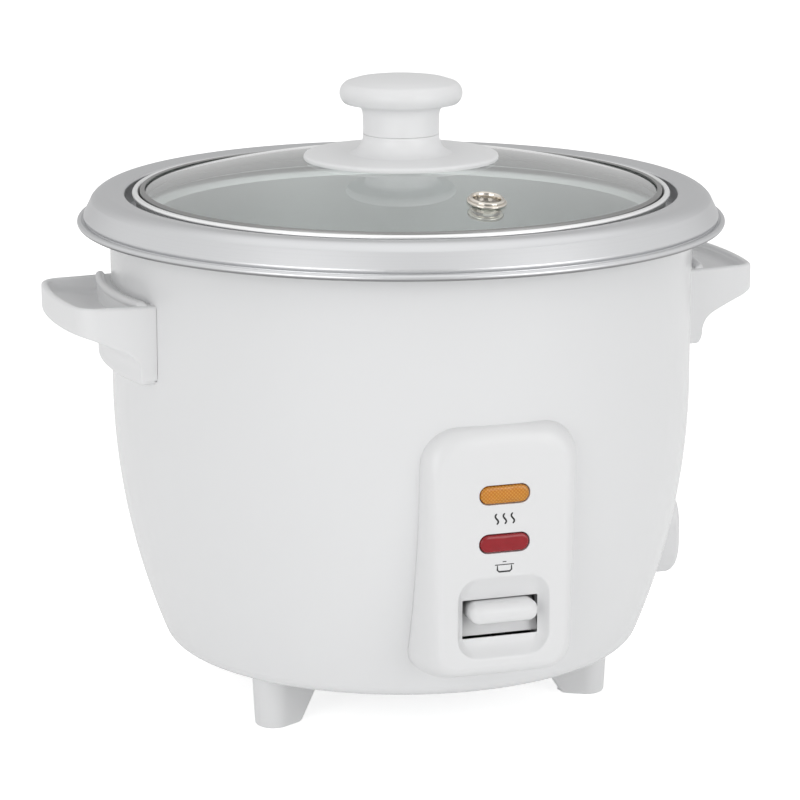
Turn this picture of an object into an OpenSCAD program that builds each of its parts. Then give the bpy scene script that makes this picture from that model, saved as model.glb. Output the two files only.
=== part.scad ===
// Drum rice cooker with a glass lid, a lift-out pot and a magnetic thermostat.
// Millimetres, +Z up, origin on the floor under the middle of the drum.
// The control panel faces -Y and the handles lie along X.

/* [Drum] */
// Outer radius of the drum where it is widest
body_r = 94.5; // [90:0.5:100]
// Height of the drum from its bottom edge to the outer edge of the rim ring
body_h = 139.8; // [134:1:150]
// Thickness of the drum's steel sheet
sheet = 0.8; // [0.6:0.1:1.1]
// Radius of the long curve that draws the lower half of the drum inwards
belly_r = 222; // [210:2:250]
// Height above the drum's bottom edge where that curve starts
belly_h = 86.6; // [80:1:92]
// Radius of the rounded bottom edge
bottom_round = 6; // [4:0.5:8]

/* [Rim ring] */
// How far the rim ring's outer edge reaches past the drum's side
rim_over = 10.5; // [9:0.25:14]
// How far the edge of the ring's mouth lies inside the drum's side
mouth_in = 5; // [4:0.25:6]
// Height of the ring's ridge above its outer edge
ridge_h = 9; // [7:0.5:11]
// Thickness of the rim ring's sheet
rim_sheet = 0.9; // [0.7:0.1:1.2]

/* [Legs] */
// Height of the legs
leg_h = 18.4; // [14:0.2:24]
// How far the middle of a leg's round outer end lies inside the drum's side
leg_in = 32; // [31.5:0.5:36]
// Radius of a leg's outer end at the floor
leg_nose_r = 5.9; // [5:0.1:6.5]
// Slope of a leg's inner end, in degrees from upright
leg_slope = 34; // [20:1:38]

/* [Handles] */
// How far the handles reach past the drum's side
handle_out = 22.5; // [20:0.5:30]
// Half width of a handle at its root
handle_half_w = 29.5; // [25:0.5:32]
// Height of the handle's rim below the outer edge of the rim ring
handle_drop = 19; // [16:0.5:24]
// Height of the outer face of a handle
handle_tip_h = 8.6; // [7:0.2:9.6]
// Height of a handle's root on the drum
handle_root_h = 25.4; // [24:0.2:30]
// Wall of the hollow top of a handle
handle_wall = 2.2; // [1.6:0.1:2.8]

/* [Control panel] */
// How far the panel's face stands out from the drum's side
panel_out = 2.7; // [2:0.1:5]
// Width of the panel's face
panel_face_w = 43; // [40:0.5:46]
// Height of the panel's face
panel_face_h = 72; // [70:0.5:74]
// Height of the face's lower edge above the drum's bottom edge
panel_up = 14; // [12:0.5:16]
// How much wider the panel is at the drum than at its face, on each side
panel_flare = 3.8; // [3:0.2:5]
// Wall thickness of the panel
panel_wall = 1.8; // [1.4:0.1:2.2]
// Width of a lamp lens
lens_w = 15.8; // [14:0.2:18]
// Height of a lamp lens
lens_h = 5.4; // [5:0.1:6.6]
// Width of the switch window
window_w = 24.6; // [23:0.2:27]
// Height of the switch window
window_h = 12.3; // [12:0.1:13]
// Depth of the dished recess round the switch window
recess_d = 3.6; // [3:0.1:4.2]

/* [Switch] */
// Width of the thumb piece
thumb_w = 21.8; // [18:0.2:22]
// Height of the thumb piece
thumb_h = 6.7; // [6:0.1:7]
// Turn of the lever when it is pressed, in degrees
lever_turn = 5.7; // [4:0.1:5.8]
// Radius of the lever's pivot pin
pivot_pin_r = 1.5; // [1.2:0.1:1.8]
// Running clearance of the lever on its pin
pivot_play = 0.05; // [0.03:0.01:0.08]
// Distance from the drum's axis to the pivot pin
pivot_place = 50; // [48:0.5:52]

/* [Pot and heater] */
// How far the pot's wall lies inside the throat of the rim ring
pot_in = 4.2; // [3.4:0.2:6.4]
// Height of the heat shield's floor above the drum's bottom edge
floor_up = 23.8; // [23:0.2:30]
// Wall thickness of the pot
pot_wall = 1; // [0.8:0.1:1.6]
// Radius of the heating plate
plate_r = 60; // [56:0.5:61]
// Thickness of the heating plate
plate_t = 7; // [6:0.2:8]
// Radius of the thermostat's cap
cap_r = 13; // [12.8:0.1:13.6]
// Travel of the thermostat's cap when it is pressed down
cap_travel = 1.5; // [1:0.1:2]

/* [Lid] */
// Radius of the sphere that the glass is part of
dome_r = 312; // [280:2:360]
// Thickness of the glass
glass_t = 3; // [2.6:0.1:3.6]
// Distance from the lid's axis to the steam vent
vent_place_r = 62.5; // [55:0.5:68]
// Outer radius of the vent eyelet
vent_r = 6.3; // [5.5:0.1:7]
// Direction of the vent from the lid's axis, in degrees round from the panel
vent_turn = 6; // [0:1:359]
// Radius of the knob's skirt
skirt_r = 31.9; // [28:0.5:36]
// Radius of the knob's neck
neck_r = 12.4; // [11:0.2:14]
// Radius of the knob's cap
knob_r = 19.9; // [18:0.2:22]
// Height of the knob above the glass
knob_h = 25.5; // [24:0.5:30]

/* [Hidden] */
$fn = 96;
eps = 0.01;
seat = 0.3;          // gap between pieces that lift apart
fit = 0.1;           // gap between pieces that are fixed together
white = "#ecedee";
steel = "#b9bcc0";
grey = "#8f9296";
brass = "#c8a24a";

// Sizes round the drum's side
rim_r = body_r + rim_over;
mouth_r = body_r - mouth_in;
lip_r = body_r - 24.5;
leg_place_r = body_r - leg_in;
handle_reach = body_r + handle_out;
panel_y = body_r + panel_out;

// Heights
shell_z = leg_h;
rim_z = shell_z + body_h;
belly_z = shell_z + belly_h;
ridge_z = rim_z + ridge_h;
handle_z = rim_z - handle_drop;
face_z0 = shell_z + panel_up;
face_z1 = face_z0 + panel_face_h;
warm_z = face_z1 - 16.2;
cook_z = warm_z - 15.3;
window_z0 = face_z0 + 9.9;
window_z1 = window_z0 + window_h;
recess_z0 = window_z0 - 5.8;
recess_z1 = window_z1 + 7.6;
window_y = panel_y - recess_d;
thumb_z1 = window_z1 - 0.3;
thumb_y = panel_y + 2.3;

// Seat of the pot in the rim ring
collar_z = rim_z + 0.8;
throat_r = mouth_r - 3.1;
throat_z = collar_z - 9;
shoulder_z = collar_z + rim_sheet + seat;
pot_r = throat_r - pot_in;
pot_mouth_r = throat_r - 0.6;
pot_round = 22;
bead_r = 1;
bead_z = shoulder_z + 6;

// Heat shield, with the heating plate on its feet above and the pot on the plate
shield_t = 0.6;
shield_r = throat_r + rim_sheet + fit + shield_t;
floor_r = shield_r - 18;
floor_z = shell_z + floor_up;
plate_foot_h = 5.7;
plate_z0 = floor_z + shield_t + plate_foot_h;
plate_z1 = plate_z0 + plate_t;
pot_bottom_z = plate_z1 + seat;
ring_r = 42;
element_r = 4;
element_z = plate_z0 - 0.4;
element_top_z = element_z + element_r + 0.3;
element_gap = 50;
element_end_z = floor_z - 8;
plate_leg_r = 54;

// Thermostat stack
sleeve_r = cap_r + 0.3;
sleeve_t = 0.7;
flange_r = sleeve_r + sleeve_t + 3.8;
sleeve_z = floor_z - 14.4;
cap_t = 0.8;
cap_top_t = 1.2;
cap_z = plate_z1 - 17.3;
spring_wire = 0.5;
ferrite_h = 8;
magnet_r = 9;
magnet_hole_r = 4.2;
magnet_h = 5;
ferrite_z = plate_z1 - cap_top_t - ferrite_h;
rod_r = 2.5;
rod_flange_t = 1;

// Base
cover_t = 0.8;
cover_z = shell_z + sheet;

// Lever, and the lift it gives the magnet
pivot_y = -pivot_place;
pivot_z = sleeve_z + 1;
arm_t = 1.5;
arm_w = 9;
arm_end_y = rod_r + 0.5;
arm_end_z = shell_z + cover_t + 0.7;
ear_x = 6.2;
ear_t = 1;
rod_z0 = arm_end_z + arm_t + seat;
magnet_lift = (arm_end_y - pivot_y) * sin(lever_turn);
magnet_z1 = ferrite_z - cap_travel - seat - magnet_lift;
magnet_z0 = magnet_z1 - magnet_h;
thumb_back_y = -thumb_y + 13.5;

// The curtain closes the window behind the thumb piece, curved about the lever's pivot
curtain_t = 1.2;
curtain_r = norm([window_y - panel_wall - seat - pivot_place, window_z0 - panel_wall - pivot_z]);
curtain_low = asin((window_z0 + 0.5 - pivot_z) / curtain_r);
curtain_high = asin((thumb_z1 + 3.7 - pivot_z) / curtain_r);

// Lid
band_r = pot_mouth_r - 1.2;
band_z0 = shoulder_z + sheet + seat + 0.2;
glass_r = band_r - 0.9;
dome_z = band_z0 + 5.2 - sqrt(dome_r * dome_r - glass_r * glass_r);
knob_z = dome_z + dome_r;
knob_top_z = knob_z + knob_h;
seam_z = knob_z + 6.6;
washer_t = 1;
washer_z = knob_z - glass_t - 0.12 - washer_t;

// Points of a round stretch, from angle a0 to a1 about the centre c
function arc(c, r, a0, a1, n = 16) = [for (i = [0:n])
    let (a = a0 + (a1 - a0) * i / n) c + r * [cos(a), sin(a)]];
// Height of the glass's outer face at a radius
function dome_at(r) = dome_z + sqrt(dome_r * dome_r - r * r);

// ---- Drum ----

// Centres and join angle of the two curves of the drum's side
belly_c = [body_r - belly_r, belly_z];
corner_z = shell_z + bottom_round;
corner_c = [belly_c[0] + sqrt(pow(belly_r - bottom_round, 2) - pow(belly_z - corner_z, 2)), corner_z];
side_tilt = atan2(corner_z - belly_z, corner_c[0] - belly_c[0]);
// Outline of the drum from its bottom edge upwards, moved inwards by a distance
function side(inset, top) = concat(
    arc(corner_c, bottom_round - inset, -90, side_tilt, 8),
    arc(belly_c, belly_r - inset, side_tilt, 0, 24),
    [[body_r - inset, top]]);
// Radius of the drum's outside at a height above the rounded edge
function side_r(z) = belly_c[0] + sqrt(belly_r * belly_r - pow(max(0, belly_z - z), 2));
shell_top = ridge_z - rim_sheet - 1.5;

// Everything inside the drum's outer face, grown by a gap
module drum_solid(gap) {
    rotate_extrude()
        polygon(concat([[0, shell_z - gap]], side(-gap, rim_z), [[0, rim_z]]));
}

// Turns a round hole or screw to point out of the drum at an angle
module outwards(turn, r, z) {
    rotate([0, 0, turn]) translate([r, 0, z]) rotate([0, 90, 0]) children();
}

module outer_shell() {
    color(white) difference() {
        rotate_extrude()
            polygon(concat([[lip_r, shell_z]], side(0, shell_top - 1),
                arc([body_r - 1, shell_top - 1], 1, 0, 90, 4),
                [[mouth_r + rim_sheet + fit, shell_top], [mouth_r + rim_sheet + fit, shell_top - sheet]],
                arc([body_r - 1, shell_top - 1], 1 - sheet, 90, 0, 2),
                reverse(side(sheet, shell_top - 1)),
                [[lip_r, shell_z + sheet]]));
        lamp_opening();
        lever_opening();
        inlet_opening();
        for (s = handle_screw_turns) outwards(s, body_r - 5, handle_screw_z)
            cylinder(r = handle_screw_r + 0.4, h = 10);
        for (x = panel_screw_x) translate([x, -body_r - 5, panel_screw_z]) rotate([-90, 0, 0])
            cylinder(r = panel_screw_r + 0.4, h = 15);
    }
}
function reverse(list) = [for (i = [len(list) - 1:-1:0]) list[i]];

module lamp_opening() {
    translate([-lens_w / 2 - 3.1, -body_r - 5, cook_z - lens_h])
        cube([lens_w + 6.2, 20, warm_z - cook_z + 2 * lens_h]);
}
module lever_opening() {
    translate([-window_w / 2 - 1.7, -body_r - 5, window_z0 - 5]) cube([window_w + 3.4, 30, window_h + 9]);
}

// Outline of the ring's top face, from the mouth over the ridge to the outer edge
ridge_c = [mouth_r + 5.7, ridge_z - 6.5];
module rim_ring() {
    ridge_round = 6.5;
    slope = 36;
    color(steel) rotate_extrude() polygon(concat(
        [[mouth_r, collar_z + rim_sheet], [mouth_r, ridge_z - 1.6]],
        arc([mouth_r + 1, ridge_z - 1.6], 1, 180, 105, 4),
        arc(ridge_c, ridge_round, 100, slope, 12),
        [[rim_r - 0.3, rim_z + 0.6], [rim_r, rim_z], [rim_r, rim_z - 1.2]],
        arc([rim_r - 0.9, rim_z - 1.2], 0.9, 0, -180, 6),
        [[rim_r - 1.8, rim_z - 0.6], [rim_r - 1.2, rim_z + 0.2]],
        arc(ridge_c, ridge_round - rim_sheet, slope, 100, 12),
        [[mouth_r + rim_sheet, ridge_z - 2.2], [mouth_r + rim_sheet, collar_z],
            [throat_r + rim_sheet, collar_z],
            [throat_r + rim_sheet, throat_z], [throat_r, throat_z], [throat_r, collar_z + rim_sheet]]));
}

module heat_shield() {
    top = collar_z - fit;
    bend_z = floor_z + 34;
    color(grey) difference() {
        rotate_extrude() polygon([[0, floor_z], [floor_r, floor_z], [shield_r, bend_z], [shield_r, top],
            [shield_r - shield_t, top], [shield_r - shield_t, bend_z],
                [floor_r - shield_t, floor_z + shield_t],
            [0, floor_z + shield_t]]);
        translate([0, 0, floor_z - 1]) {
            cylinder(r = sleeve_r + sleeve_t + 0.4, h = 3);
            for (a = leg_turns) rotate([0, 0, a]) translate([plate_leg_r, 0, 0]) cylinder(r = 2.2, h = 3);
            for (a = element_ends) rotate([0, 0, a]) translate([ring_r, 0, 0])
                cylinder(r = element_r + 1, h = 3);
            translate([warm_at[0], warm_at[1], 0]) cylinder(r = warm_r + 1, h = 3);
        }
    }
}

module base_cover() {
    color(steel) difference() {
        rotate_extrude() polygon([[0, shell_z], [lip_r - 1.2, shell_z], [lip_r - 0.4, cover_z],
            [lip_r + 2.5, cover_z],
            [lip_r + 2.5, cover_z + cover_t], [lip_r - 0.8, cover_z + cover_t],
                [lip_r - 1.6, shell_z + cover_t],
            [0, shell_z + cover_t]]);
        for (i = [-3:3]) translate([i * 9 - 1.5, -16, shell_z - 1]) cube([3, 32, 3]);
        for (a = leg_angles) rotate([0, 0, a]) translate([leg_place_r - 6, 0, shell_z - 1])
            cylinder(r = 1.9, h = 3);
    }
}

// ---- Legs ----

leg_angles = [-30, 90, 210];
leg_draft = 1.5;
leg_screw_r = 1.6;
module leg(angle) {
    toe = leg_place_r - 7.5;
    heel = toe - leg_h * tan(leg_slope);
    top_r = leg_nose_r + leg_draft;
    recess = leg_h - 5;
    color(white) rotate([0, 0, angle]) difference() {
        hull() {
            translate([leg_place_r, 0, 0]) cylinder(r = leg_nose_r, h = eps, $fn = 32);
            translate([toe, -leg_nose_r, 0]) cube([4, 2 * leg_nose_r, eps]);
            translate([leg_place_r, 0, leg_h - eps]) cylinder(r = top_r - 0.6, h = eps, $fn = 32);
            translate([heel, -top_r + 0.6, leg_h - eps]) cube([4, 2 * top_r - 1.2, eps]);
        }
        translate([leg_place_r - 6, 0, -1]) cylinder(r = leg_screw_r + 0.3, h = leg_h + 2);
        translate([leg_place_r - 6, 0, -1]) cylinder(r = 3.4, h = recess + 1);
    }
}
module foot_left() leg(leg_angles[2]);
module foot_right() leg(leg_angles[0]);
module foot_rear() leg(leg_angles[1]);

// Pan-head screw along +Z: the head sits below z = 0 and the shank above
module screw(r, length, head_r, head_h) {
    color(grey) difference() {
        union() {
            translate([0, 0, -head_h]) cylinder(r = head_r, h = head_h);
            translate([0, 0, -eps]) cylinder(r = r, h = length);
        }
        for (a = [0, 90]) rotate([0, 0, a])
            translate([-head_r * 0.6, -0.3, -head_h - eps]) cube([head_r * 1.2, 0.6, head_h * 0.5]);
    }
}
module foot_screws() {
    for (a = leg_angles) rotate([0, 0, a]) translate([leg_place_r - 6, 0, leg_h - 5])
        screw(leg_screw_r, 8.5, 3, 1.8);
}

// ---- Handles ----

handle_screw_z = handle_z - 17;
handle_screw_r = 1.4;
handle_screw_turns = [-9, 9, 171, 189];
root_t = 4.4;
handle_low = handle_z - handle_root_h;

// Plan of a handle that points along +X, moved inwards by a distance
module handle_plan(inset) {
    corner = 7.6;
    bulge = 120;
    corner_y = handle_half_w - 9.9;
    bulge_c = [handle_reach - bulge, 0];
    half = asin(corner_y / (bulge - corner));
    corner_c = [bulge_c[0] + (bulge - corner) * cos(half), -corner_y];
    front = concat([[body_r - 20, -handle_half_w - 0.4 + inset]],
        arc(corner_c, corner - inset, -95, -half, 20));
    polygon(concat(front, arc(bulge_c, bulge - inset, -half * 0.94, half * 0.94, 20),
        [for (p = reverse(front)) [p[0], -p[1]]]));
}
module handle(turn) {
    root_r = body_r + 1.5 * fit;
    skin_r = body_r + root_t;
    arch = 8;
    tip_low = handle_z - handle_tip_h;
    ridge_in = 1.4;
    color(white) rotate([0, 0, turn]) difference() {
        union() {
            intersection() {
                translate([0, 0, handle_low - 1]) linear_extrude(handle_root_h + 5) handle_plan(0);
                rotate_extrude() polygon(concat([[root_r, handle_low]],
                    arc([skin_r - 1.9, handle_low + 1.5], 1.5, -90, -10, 6),
                    arc([skin_r + arch, handle_z - 22], arch, 180, 115, 16),
                    [[handle_reach - 10.4, tip_low - 3.2], [handle_reach - 7, tip_low - 1.8],
                        [handle_reach - 3.4, tip_low - 0.5], [handle_reach - 1.4, tip_low + 0.3],
                        [handle_reach + 1, tip_low + 1.6], [handle_reach + 1, handle_z],
                            [root_r, handle_z]]));
            }
            intersection() {
                translate([0, 0, handle_z - 4]) linear_extrude(6) handle_plan(0.4);
                rotate_extrude() polygon(concat([[root_r, handle_z - 3], [skin_r + 0.1, handle_z - 3]],
                    arc([skin_r - ridge_in, handle_z], ridge_in + 0.1, 0, 180, 16), [[root_r, handle_z]]));
            }
        }
        intersection() {
            translate([0, 0, handle_low]) linear_extrude(handle_root_h + 5) handle_plan(handle_wall);
            rotate_extrude() polygon([[skin_r + 0.6, handle_z - 6.6], [handle_reach - 8, handle_z - 5],
                [handle_reach + 2, handle_z - 3.4], [handle_reach + 2, handle_z + 2],
                [skin_r + 0.6, handle_z + 2]]);
        }
        for (s = [-9, 9]) outwards(s, body_r - 5, handle_screw_z) cylinder(r = handle_screw_r - 0.1, h = 9.4);
    }
}
module handle_left() handle(180);
module handle_right() handle(0);
module handle_screws() {
    for (s = handle_screw_turns) outwards(s, body_r - sheet - 0.25, handle_screw_z)
        screw(handle_screw_r - 0.1, 5, 2.8, 1.6);
}

// ---- Control panel ----

panel_screw_x = [-16, 16];
panel_screw_z = (warm_z + cook_z) / 2 + 1;
panel_screw_r = 1.4;

// Upright rounded rectangle in the plane y, facing -Y
module plate_outline(w, z0, z1, round_r, y) {
    for (sx = [-1, 1], z = [z0 + round_r, z1 - round_r])
        translate([sx * (w / 2 - round_r), y, z]) rotate([90, 0, 0]) cylinder(r = round_r, h = eps, $fn = 32);
}
// The raised pad: its face, and its wider outline on the drum
module pad(inset) {
    low = face_z0 - 4.6 + inset;
    high = face_z1 + 5.2 - inset;
    back_w = panel_face_w + 2 * panel_flare - 2 * inset;
    hull() {
        plate_outline(panel_face_w - 2 * inset, face_z0 + inset, face_z1 - inset, 9, -panel_y + inset);
        for (sx = [-1, 1]) {
            translate([sx * (back_w / 2 - 12), -side_r(high) + 5, high - 12]) rotate([90, 0, 0])
                cylinder(r = 12, h = 4.2, $fn = 48);
            translate([sx * (back_w / 2 - 9), -side_r(low) + 5, low + 9]) rotate([90, 0, 0])
                cylinder(r = 9, h = eps, $fn = 48);
        }
    }
}
// A shape with two round ends, from the plane y0 to the plane y1
module stadium(w, h, z, y0, y1) {
    for (s = [-1, 1]) translate([s * (w - h) / 2, y1, z]) rotate([90, 0, 0]) cylinder(r = h / 2, h = y1 - y0);
    translate([-(w - h) / 2, y0, z - h / 2]) cube([w - h, y1 - y0, h]);
}
module recess(grow) {
    hull() {
        plate_outline(30 + 2 * grow, recess_z0 - grow, recess_z1 + grow, 7 + grow, -panel_y - eps);
        plate_outline(window_w + 2 * grow, window_z0 - grow, window_z1 + grow, 1 + grow, -window_y + grow);
    }
}
module control_panel() {
    inside_y = panel_y - panel_wall;
    color(white) difference() {
        union() {
            difference() {
                pad(0);
                pad(panel_wall);
            }
            intersection() {
                pad(0);
                recess(panel_wall);
            }
            for (x = panel_screw_x) translate([x, -inside_y - eps, panel_screw_z]) rotate([-90, 0, 0])
                cylinder(r = 3.4, h = 12);
        }
        drum_solid(fit);
        recess(0);
        translate([-window_w / 2, -window_y - 1, window_z0]) cube([window_w, 6, window_h]);
        for (z = [warm_z, cook_z])
            stadium(lens_w + 2 * fit, lens_h + 2 * fit, z, -panel_y - 1, -inside_y + 1);
        for (x = panel_screw_x) translate([x, -inside_y, panel_screw_z]) rotate([-90, 0, 0])
            cylinder(r = panel_screw_r - 0.1, h = 20);
    }
}
module panel_screws() {
    side_y = sqrt(pow(side_r(panel_screw_z) - sheet, 2) - pow(panel_screw_x[1] + 2.8, 2));
    for (x = panel_screw_x) translate([x, -side_y + 0.1, panel_screw_z]) rotate([90, 0, 0])
        screw(panel_screw_r - 0.1, panel_y - panel_wall - side_y - 0.2, 2.8, 1.6);
}

module lens(z, tint) {
    inside_y = panel_y - panel_wall;
    color(tint) difference() {
        union() {
            stadium(lens_w, lens_h, z, -panel_y - 0.4, -inside_y + 4);
            stadium(lens_w + 2.4, lens_h + 2.4, z, -inside_y, -inside_y + 1);
        }
        stadium(lens_w - 2.2, lens_h - 2.2, z, -panel_y + 1.2, -inside_y + 5);
    }
}
module warm_lens() lens(warm_z, "#ee9a24");
module cook_lens() lens(cook_z, "#a81d25");

// Neon bulb lying across the back of a lens, with its two leads
lamp_y = -panel_y + panel_wall + 1.6;
lead_x = 3;
lead_end_y = lamp_y + 2.9;
module lamp(z) {
    bulb_r = lens_h / 2 - 1.1 - seat;
    color("#e8c9a0") {
        translate([-4, lamp_y, z]) rotate([0, 90, 0]) cylinder(r = bulb_r, h = 8);
        for (s = [-1, 1]) translate([s * 4, lamp_y, z]) sphere(r = bulb_r);
        for (s = [-1, 1]) translate([s * lead_x, lead_end_y, z]) rotate([90, 0, 0])
            cylinder(r = 0.4, h = lead_end_y - lamp_y);
    }
}
module warm_lamp() lamp(warm_z);
module cook_lamp() lamp(cook_z);

// ---- Switch lever ----

module switch_lever() {
    nose = thumb_h / 2 - 0.2;
    z0 = thumb_z1 - thumb_h;
    inner = thumb_w - 2 * nose;
    color(white) {
        for (s = [-1, 1]) translate([s * inner / 2, -thumb_y + nose, z0 + nose + 0.2]) {
            sphere(r = nose);
            rotate([-90, 0, 0]) cylinder(r = nose, h = thumb_y - nose + thumb_back_y);
        }
        translate([-inner / 2, -thumb_y + nose, z0 + nose + 0.2]) rotate([0, 90, 0])
            cylinder(r = nose, h = inner);
        translate([-inner / 2, -thumb_y + nose, z0 + 0.2])
            cube([inner, thumb_y - nose + thumb_back_y, 2 * nose]);
        translate([0, pivot_y, pivot_z]) rotate([0, 90, 0]) rotate([0, 0, 270 - curtain_high])
            rotate_extrude(angle = curtain_high - curtain_low)
                translate([curtain_r - curtain_t, -window_w / 2 - 1]) square([curtain_t, window_w + 2]);
    }
}

// The steel arm runs from the thumb piece down past the heat shield and in to the thermostat
arm_path = [[thumb_back_y + 0.1, thumb_z1 - 4], [-75, pivot_z + 12], [-70, pivot_z + 1],
    [pivot_y, pivot_z - 1.6],
    [-12, arm_end_z], [arm_end_y, arm_end_z]];
module lever_arm() {
    up = [0, arm_t];
    color(steel) difference() {
        union() {
            translate([-arm_w / 2, 0, 0]) rotate([90, 0, 90]) linear_extrude(arm_w) polygon(concat(
                [for (p = arm_path) p],
                [for (i = [len(arm_path) - 1:-1:0])
                    arm_path[i] + (i < 2 ? [arm_t * 0.9, arm_t * 0.7] : up)]));
            translate([-arm_w / 2, pivot_y, pivot_z]) rotate([0, 90, 0])
                cylinder(r = pivot_pin_r + 1.6, h = arm_w);
        }
        translate([-arm_w, pivot_y, pivot_z]) rotate([0, 90, 0])
            cylinder(r = pivot_pin_r + pivot_play, h = 2 * arm_w);
    }
}
module lever_pin() {
    color(steel) translate([-ear_x - ear_t - 1, pivot_y, pivot_z]) rotate([0, 90, 0])
        cylinder(r = pivot_pin_r, h = 2 * (ear_x + ear_t + 1));
}
module pivot_bracket() {
    color(grey) difference() {
        union() {
            for (s = [-1, 1]) translate([s * (ear_x + ear_t / 2) - ear_t / 2, pivot_y - 5, pivot_z - 4])
                cube([ear_t, 10, floor_z - pivot_z + 4]);
            translate([-ear_x - ear_t, pivot_y - 5, floor_z - 1]) cube([2 * (ear_x + ear_t), 10, 1]);
        }
        translate([-20, pivot_y, pivot_z]) rotate([0, 90, 0]) cylinder(r = pivot_pin_r, h = 40);
    }
}

// ---- Contact switch ----

switch_y = -sleeve_r - 12.7;
switch_w = 6.4;
switch_l = 18;
switch_y0 = switch_y - 7;
switch_screw_y = [switch_y - 4.5, switch_y + 5];
bracket_l = -flange_r - seat - switch_y0;
plunger_r = 1.2;
plunger_in = 2;
plunger_travel = (switch_y + plunger_r - pivot_y) * sin(lever_turn);
function arm_top(y) = let (a = arm_path[3], b = arm_path[4])
    a[1] + (b[1] - a[1]) * (y - a[0]) / (b[0] - a[0]) + arm_t;
plunger_z0 = arm_top(switch_y) + seat;
switch_z0 = plunger_z0 + plunger_travel + 1;
module switch_body() {
    color("#2b2b2d") difference() {
        translate([-switch_w / 2, switch_y0, switch_z0]) cube([switch_w, switch_l, 9]);
        translate([0, switch_y, switch_z0 - 1])
            cylinder(r = plunger_r + 0.1, h = plunger_in + plunger_travel + 1.5);
        for (y = switch_screw_y) translate([-5, y, switch_z0 + 6]) rotate([0, 90, 0])
            cylinder(r = 1.2, h = 10);
    }
}
module switch_plunger() {
    color("#b5232a") translate([0, switch_y, plunger_z0])
        cylinder(r = plunger_r, h = switch_z0 - plunger_z0 + plunger_in);
}
module switch_bracket() {
    color(grey) {
        difference() {
            translate([switch_w / 2 + fit, switch_y0, switch_z0 + 1])
                cube([1, bracket_l, floor_z - switch_z0 - 1]);
            for (y = switch_screw_y) translate([0, y, switch_z0 + 6]) rotate([0, 90, 0])
                cylinder(r = 1, h = 10);
        }
        translate([switch_w / 2 + fit + 1, switch_y0, floor_z - 1]) cube([5, bracket_l, 1]);
        for (y = switch_screw_y) translate([-4.2, y, switch_z0 + 6]) rotate([0, 90, 0]) {
            cylinder(r = 1, h = 9.2);
            cylinder(r = 1.9, h = 0.9);
        }
    }
}

// ---- Power inlet ----

inlet_x = body_r - 0.5;
inlet_z = shell_z + 27.6;
inlet_w = 34;
inlet_h = 31;
inlet_round = 12;
socket_w = 23;
socket_h = 17;
socket_d = 12;
inlet_back_x = inlet_x - 2 * socket_d;
pin_r = 2;
pin_inset = 4;       // the pins end this far inside the mouth
pin_end_x = inlet_x - socket_d - 5;
inlet_pin_at = [[-6, -2.5], [6, -2.5], [0, 3.5]];
module inlet_block(w, h, r, x0, x1) {
    for (y = [-1, 1], z = [-1, 1]) translate([x0, y * (w / 2 - r), inlet_z + z * (h / 2 - r)])
        rotate([0, 90, 0]) cylinder(r = r, h = x1 - x0);
    translate([x0, -w / 2 + r, inlet_z - h / 2]) cube([x1 - x0, w - 2 * r, h]);
    translate([x0, -w / 2, inlet_z - h / 2 + r]) cube([x1 - x0, w, h - 2 * r]);
}
module inlet_opening() {
    inlet_block(socket_w + 4.4, socket_h + 4.4, 4, inlet_back_x, inlet_x + 6);
    for (s = [-1, 1]) translate([inlet_back_x, 0, inlet_z + s * inlet_screw_up]) rotate([0, 90, 0])
        cylinder(r = 1.5, h = 2.5 * socket_d);
}
inlet_screw_up = socket_h / 2 + 4.3;
module inlet_housing() {
    color(white) difference() {
        union() {
            difference() {
                inlet_block(inlet_w, inlet_h, inlet_round, inlet_back_x, inlet_x);
                drum_solid(fit);
            }
            inlet_block(socket_w + 4, socket_h + 4, 4, inlet_x - socket_d - 2, inlet_x - 2);
        }
        inlet_block(socket_w, socket_h, 3, inlet_x - socket_d, inlet_x + 5);
        for (p = inlet_pin_at) translate([inlet_back_x, p[0], inlet_z + p[1]]) rotate([0, 90, 0])
            cylinder(r = pin_r, h = 2 * socket_d - 4);
        for (s = [-1, 1]) translate([inlet_back_x, 0, inlet_z + s * inlet_screw_up]) rotate([0, 90, 0])
            cylinder(r = 1.1, h = 2 * socket_d - 3);
    }
}
module inlet_pins() {
    length = inlet_x - pin_inset - pin_r - pin_end_x;
    for (p = inlet_pin_at) color(brass) translate([pin_end_x, p[0], inlet_z + p[1]]) rotate([0, 90, 0]) {
        cylinder(r = pin_r, h = length);
        translate([0, 0, length]) sphere(r = pin_r);
    }
}
module inlet_screws() {
    head_r = 2.2;
    for (s = [-1, 1]) {
        z = inlet_z + s * inlet_screw_up;
        x = side_r(z - head_r) - sheet - fit;
        translate([x, 0, z]) rotate([0, 90, 0]) screw(1.1, min(6, inlet_x - 3.2 - x), head_r, 1.3);
    }
}

// ---- Heating plate ----

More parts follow.
